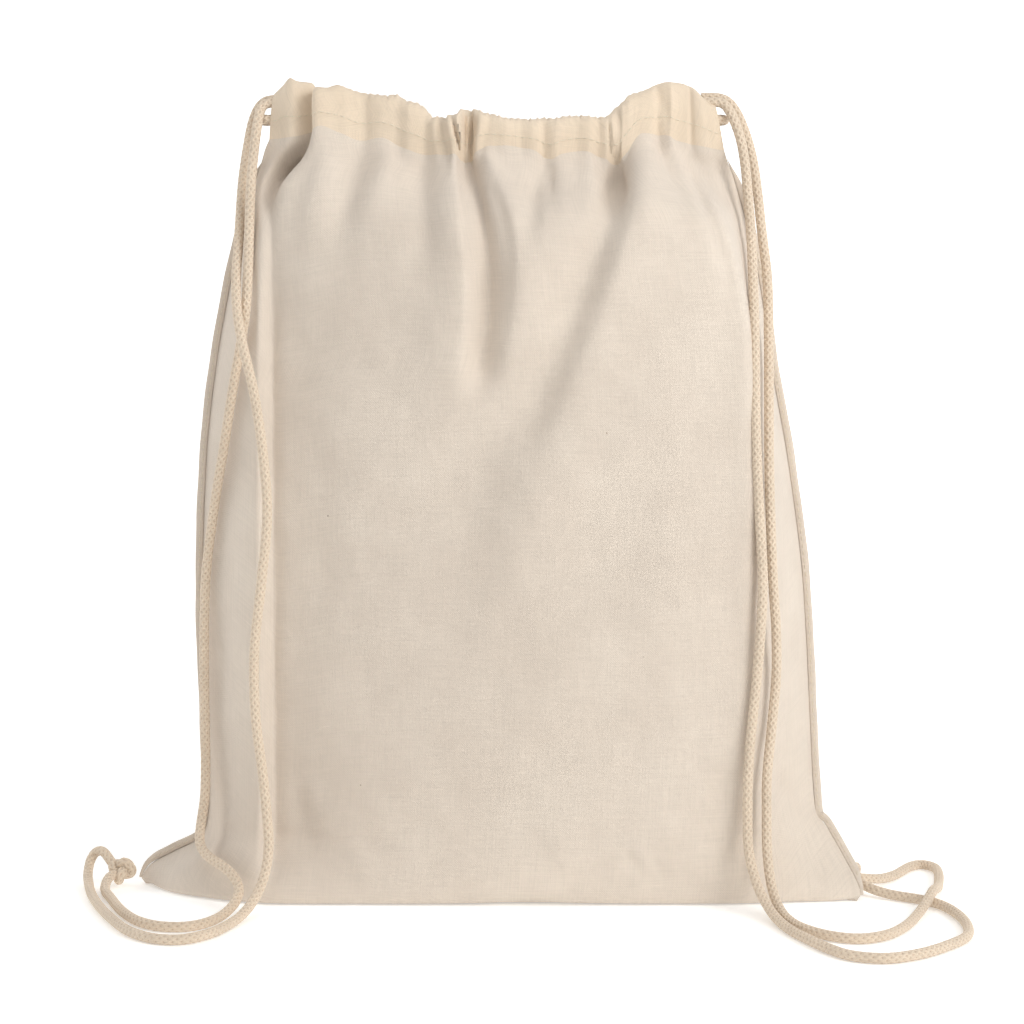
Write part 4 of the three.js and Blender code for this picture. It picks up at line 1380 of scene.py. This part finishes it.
RIGHT_BACK = (
    (0.1055, 0.0056, 0.3745), (0.1092, 0.0052, 0.3725), (0.1132, 0.0042, 0.3665),
    (0.1168, 0.0026, 0.3575), (0.1198, 0, 0.346), (0.1218, -0.0055, 0.33), (0.1233, -0.0125, 0.311),
    (0.1252, -0.0205, 0.29), (0.1253, -0.028, 0.267), (0.1246, -0.0385, 0.239),
    (0.1243, -0.045, 0.206), (0.125, -0.0468, 0.178), (0.1263, -0.0468, 0.15),
    (0.128, -0.0452, 0.128), (0.1284, -0.0435, 0.106), (0.1258, -0.0478, 0.08),
    (0.1236, -0.0518, 0.06), (0.1234, -0.0536, 0.044),
    (0.1233, -0.0585, 0.027), (0.1244, -0.0665, 0.0135), (0.1266, -0.0765, 0.0055),
    (0.13, -0.092, 0.0025), (0.1364, -0.112, 0.0025), (0.1465, -0.1245, 0.0025),
    (0.157, -0.1285, 0.0025), (0.1685, -0.122, 0.0025), (0.1785, -0.107, 0.0025),
    (0.1875, -0.086, 0.003), (0.1952, -0.067, 0.0056), (0.2, -0.054, 0.0078),
    (0.2045, -0.038, 0.0058), (0.2085, -0.017, 0.0028), (0.213, 0.01, 0.0025),
    (0.2135, 0.027, 0.0025), (0.2085, 0.0345, 0.0025), (0.2025, 0.0295, 0.0025),
    (0.191, 0.007, 0.0026), (0.181, -0.0085, 0.004), (0.1726, -0.0158, 0.0059),
)



@dataclass
class Cords:
    """The two cords: four hanging strands, the turns and runs in the casings, and the knots."""

    radius: float = CORD / 2
    plaits: int = CORD_COTTON.plaits
    pitch: float = CORD_COTTON.pitch
    relief: float = 0.06          # how far a plait stands out, as a share of the radius
    sides: int = 30
    spacing: float = 0.0006      # between rings of a strand
    easing: float = 4.5           # how softly a strand turns at its route's points, in rings
    inside: float = 0.006         # how far a strand is shown inside its casing
    tuck: float = 0.003           # how far it goes into its knot
    crossing: float = 5.0         # where the two cords cross in the casings, in millimetres
    pieces: dict = field(default_factory=dict)

    def skin(self, name: str, line: np.ndarray, across: np.ndarray, closed: bool = False) -> bpy.types.Object:
        """A braided tube along a line.

        The braid is two families of plaits that wind opposite ways. A point stands out by
        the greater of two cosines, one for each family, of the angle round plus or minus
        the distance along.

        Args:
            name: the piece's name.
            line: the middle of the cord.
            across: a direction near each point that is never along the cord.
            closed: True where the line meets its own start.

        Returns:
            The tube.
        """
        if closed:
            ahead = np.roll(line, -1, 0) - np.roll(line, 1, 0)
        else:
            ahead = np.gradient(line, axis=0)
        ahead /= np.linalg.norm(ahead, axis=1, keepdims=True)
        one = across - ahead * np.sum(across * ahead, axis=1, keepdims=True)
        one /= np.linalg.norm(one, axis=1, keepdims=True)
        other = np.cross(ahead, one)
        turn = np.linspace(0, 1, self.sides, endpoint=False)[None]
        run = lengths(line)[:, None]
        up, down = (
            np.cos(2 * math.pi * (self.plaits * turn + way * run / self.pitch)) for way in (1, -1)
        )
        width = self.radius * (1 - 0.5 * self.relief + self.relief * np.maximum(up, down))
        angle = 2 * math.pi * turn
        rings = (
            line[:, None]
            + (width * np.cos(angle))[..., None] * one[:, None]
            + (width * np.sin(angle))[..., None] * other[:, None]
        )
        round_ = np.linspace(0, 1, self.sides + 1)[None]
        along = np.vstack([run, run[-1] + np.linalg.norm(line[0] - line[-1])]) if closed else run
        uv = np.stack(np.broadcast_arrays(round_, along), -1)
        piece = carry(name, rings, uv, closed)
        dress(piece, MATERIALS["cord_cotton"])
        return piece

    def strand(self, hand: Hand, side: Side, route: tuple) -> None:
        """One hanging strand, from inside its casing to its knot.

        It swings with the standing part of its cord. The swing fades in over the first
        stretch below the casing and out again near the floor, where the cord lies still.
        """
        points = np.array(route)
        end = np.array([MOUTH_LEFT if hand is Hand.LEFT else MOUTH_RIGHT, 0, 0]) * MM
        start = np.array([
            end[0] - hand.value * self.inside, side.value * TUNNEL_APART * MM, points[0, 2],
        ])
        lip = start + np.array([hand.value * (self.inside + 0.001), side.value * 0.0001, 0.0001])
        knot = KNOTS[hand]
        last = points[-1] + (knot - points[-1]) / np.linalg.norm(knot - points[-1]) * self.tuck
        line = smooth_curve(np.vstack([start, lip, points, last]), self.spacing)
        line[1:-1] = soften(line, self.easing, 0)[1:-1]
        floor = 1 - step(line[:, 2], 0.006, 0.040)[:, None]
        across = (1 - floor) * np.array([0, 1.0, 0]) + floor * np.array([0, 0, -1.0])
        name = f"{hand.word}_{side.word}"
        piece = self.skin(f"{name}_strand", line, across)
        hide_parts(f"{name}_strap", f"{name}_strap_tail")
        place = vertices_of(piece)
        share = step(hand.value * (place[:, 0] - end[0]), 0.002, 0.012)
        share = np.maximum(share, step(0.366 - place[:, 2], 0.0, 0.02))
        ease = 1 - step(place[:, 2], 0.322, 0.374)
        bend(
            piece, "sack", f"{hand.word}_shoulder_cord",
            (place[0, 0], 0, 0.015), (place[0, 0], 0, 0.075), share * ease,
        )
        self.pieces[name] = (piece, line, tuple(line[int(self.inside / self.spacing) + 1]))
        LOG.info("%s: %.0f mm of cord", piece.name, lengths(line)[-1] / MM)

    def turn(self, hand: Hand) -> None:
        """The turn where a cord leaves one casing and goes back through the other.

        The left cord turns at the right end and the right cord at the left end, as a half
        round flattened towards the casings.
        """
        out = -hand.value
        end = (MOUTH_RIGHT if out > 0 else MOUTH_LEFT) + 0.3 * out
        level = TUNNEL_LEVEL + hand.value * out * ROW_OFFSET
        angle = np.linspace(-math.pi / 2, math.pi / 2, 40)
        inside = np.linspace(-5, 0, 8)[:-1]
        bulge = end + out * 4.2 * np.cos(angle) ** 0.8
        x = np.concatenate([end + out * inside, bulge, end + out * inside[::-1]])
        straight = np.full(len(inside), TUNNEL_APART)
        y = np.concatenate([-straight, TUNNEL_APART * np.sin(angle), straight])
        z = np.full(len(x), level)
        line = smooth_curve(np.stack([x, y, z], 1) * MM, self.spacing)
        piece = self.skin(f"{hand.word}_turn", line, np.tile([0, 0, 1.0], (len(line), 1)))
        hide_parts(f"{hand.word}_cord_turn")
        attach(piece, "sack")
        LOG.info("%s", piece.name)

    def run(self, hand: Hand, side: Side, casing: np.ndarray) -> None:
        """The part of a cord that lies hidden in a casing, one above the other.

        The two cords change places where the casing is roomiest.

        Args:
            hand: which cord.
            side: which casing.
            casing: the casing's rows, round its section and along the mouth.
        """
        low, high = casing[..., 2].min(0), casing[..., 2].max(0)
        middle = casing[3:-3].mean(0)
        middle[:, 2] = (low + high) / 2
        middle = soften(middle, 2.5, 0)[4:-4]
        tall = soften((high - low)[:, None], 2.5, 0)[4:-4, 0]
        x = middle[:, 0]
        apart = np.minimum(ROW_OFFSET, tall / 2 - CLOTH - CORD / MM / 2 - 1.0)
        middle[:, 2] += hand.value * apart * np.tanh((x - self.crossing) / 9.0)
        middle[:, 1] += hand.value * 2.5 * np.exp(-(((x - self.crossing) / 12.0) ** 2))
        line = smooth_curve(middle[::3] * MM, self.spacing)
        piece = self.skin(f"{hand.word}_{side.word}_run", line, np.tile([0, 0, 1.0], (len(line), 1)))
        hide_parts(f"{hand.word}_cord_{side.word}_run")
        place = vertices_of(piece) / MM
        mid = side.value * 0.020
        bend(
            piece, "sack", f"{side.word}_mouth",
            (0, mid, OPEN_LOW * MM), (0, mid, OPEN_HIGH * MM), opening_share(place[:, 0]),
        )
        LOG.info("%s", piece.name)

    def knot(self, hand: Hand) -> None:
        """The knot at a bottom corner: a cord in a tight three-lobed overhand knot.

        Its line is sin t + 2 sin 2t, cos t - 2 cos 2t and -sin 3t, scaled to the knot's
        size and tipped to face out of the corner.
        """
        t = np.linspace(0, 2 * math.pi, 260, endpoint=False)
        flat = np.stack([np.sin(t) + 2 * np.sin(2 * t), np.cos(t) - 2 * np.cos(2 * t), -np.sin(3 * t)], 1)
        size = 0.00165
        line = flat * size * np.array([1.0, 1.0, 1.45])
        tilt = math.radians(62)
        yaw = math.radians(-35 if hand is Hand.LEFT else 40)
        about_x = np.array([
            [1, 0, 0], [0, math.cos(tilt), -math.sin(tilt)], [0, math.sin(tilt), math.cos(tilt)],
        ])
        about_z = np.array([
            [math.cos(yaw), -math.sin(yaw), 0], [math.sin(yaw), math.cos(yaw), 0], [0, 0, 1],
        ])
        turned = line @ (about_z @ about_x).T
        axis = np.tile((about_z @ about_x) @ np.array([0, 0, 1.0]), (len(t), 1))
        centre = KNOTS[hand] + np.array([0, 0, 0.0008])
        across = axis + 0.25 * turned / size
        piece = self.skin(f"{hand.word}_corner_knot", turned + centre, across, closed=True)
        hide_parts(f"{hand.word}_knot")
        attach(piece, "sack")
        self.pieces[f"{hand.word}_knot"] = piece
        LOG.info("%s", piece.name)


KNOTS = {Hand.LEFT: np.array([-0.1796, -0.006, 0.007]), Hand.RIGHT: np.array([0.167, -0.020, 0.007])}
ROUTES = {
    (Hand.LEFT, Side.FRONT): LEFT_FRONT, (Hand.LEFT, Side.BACK): LEFT_BACK,
    (Hand.RIGHT, Side.FRONT): RIGHT_FRONT, (Hand.RIGHT, Side.BACK): RIGHT_BACK,
}


# ---- The studio ------------------------------------------------------------------------------

# The lights: name, place, width, power and colour. The strongest is high on the right, in front.
LIGHTS = (
    ("key", (1.12, -0.98, 0.95), 0.8, 13.1, (1.0, 0.985, 0.965)),
    ("left", (-1.75, 0.55, 0.9), 1.0, 9.5, (1.0, 0.99, 0.98)),
    ("top", (0.1, -0.5, 1.9), 1.4, 10.0, (1.0, 1.0, 1.0)),
    ("rear", (0.6, 1.9, 1.4), 1.0, 9.0, (1.0, 1.0, 1.0)),
)
SKY_STRENGTH = 0.25

@dataclass
class Studio:
    """Camera, white paper bowl and soft lights. Metres and watts."""

    distance: float = 1.3
    height: float = 0.27
    lens: float = 96.4
    pitch: float = 4.015
    shift: float = 0.0137
    floor_reach: float = 3.2
    bowl_reach: float = 7.0
    bowl_height: float = 3.4

    def camera(self) -> None:
        """The camera, level with the upper part of the bag and tipped down a little."""
        data = bpy.data.cameras.new("camera")
        data.lens = self.lens
        data.sensor_width = 36.0
        data.shift_x = self.shift
        data.clip_end = 60.0
        holder = bpy.data.objects.new("camera", data)
        holder.location = (0.0, -self.distance, self.height)
        holder.rotation_euler = (math.radians(90 - self.pitch), 0.0, 0.0)
        bpy.context.scene.collection.objects.link(holder)
        bpy.context.scene.camera = holder

    def paper(self) -> None:
        """A round sheet of paper: a flat floor that curves up into a low wall all round.

        The height is zero out to the floor's reach and then rises as the square of the
        share of the way to the rim.
        """
        turn = np.linspace(0, 2 * math.pi, 97)
        flat = np.linspace(0.3, self.floor_reach, 12)
        curved = np.linspace(self.floor_reach, self.bowl_reach, 24)[1:]
        out = np.concatenate([[1e-3], flat, curved])
        rise = np.clip((out - self.floor_reach) / (self.bowl_reach - self.floor_reach), 0, 1)
        grid = np.stack(np.broadcast_arrays(
            out[:, None] * np.cos(turn), out[:, None] * np.sin(turn),
            (self.bowl_height * rise**2)[:, None],
        ), -1)
        blank = np.zeros((grid[..., 0].size, 2))
        sheet = build("paper", grid.reshape(-1, 3), grid_faces(*grid.shape[:2]), blank)
        sheet.data.materials.append(MATERIALS["white_paper"])

    def light(self, name: str, place: tuple, size: float, power: float, colour: tuple) -> None:
        """One square soft light that points at the middle of the bag."""
        data = bpy.data.lights.new(name, "AREA")
        data.size = size
        data.energy = power
        data.color = colour
        holder = bpy.data.objects.new(name, data)
        holder.location = place
        holder.rotation_euler = (Vector((0, 0, 0.2)) - Vector(place)).to_track_quat("-Z", "Y").to_euler()
        bpy.context.scene.collection.objects.link(holder)

    def lights(self) -> None:
        """The four lights, and a pale sky."""
        for name, place, size, power, colour in LIGHTS:
            self.light(name, place, size, power, colour)
        world = bpy.data.worlds.new("sky")
        world.use_nodes = True
        world.node_tree.nodes["Background"].inputs["Color"].default_value = (1.0, 1.0, 1.0, 1.0)
        world.node_tree.nodes["Background"].inputs["Strength"].default_value = SKY_STRENGTH
        bpy.context.scene.world = world


def main() -> None:
    """Builds the studio, the cords, the sack and its seams."""
    bpy.context.scene.view_settings.view_transform = "Standard"
    for finish in (SACK_COTTON, HEM_COTTON, CORD_COTTON, THREAD, PAPER):
        MATERIALS[finish.name] = finish.make()
    studio = Studio()
    studio.camera()
    studio.paper()
    studio.lights()
    cords = Cords()
    for (hand, side), route in ROUTES.items():
        cords.strand(hand, side, route)
    for hand in Hand:
        cords.turn(hand)
        cords.knot(hand)
    sack = Sack()
    seams = Seams()
    for side in Side:
        sack.sew(side)
        seams.hem_row(side, sack.cloths[f"{side.word}_hem"], sack.cloths[f"{side.word}_outer"])
        for hand in Hand:
            cords.run(hand, side, sack.cloths[f"{side.word}_outer"])
    for hand in Hand:
        seams.edge(hand)
    seams.allowance()


if __name__ == "__main__":
    main()
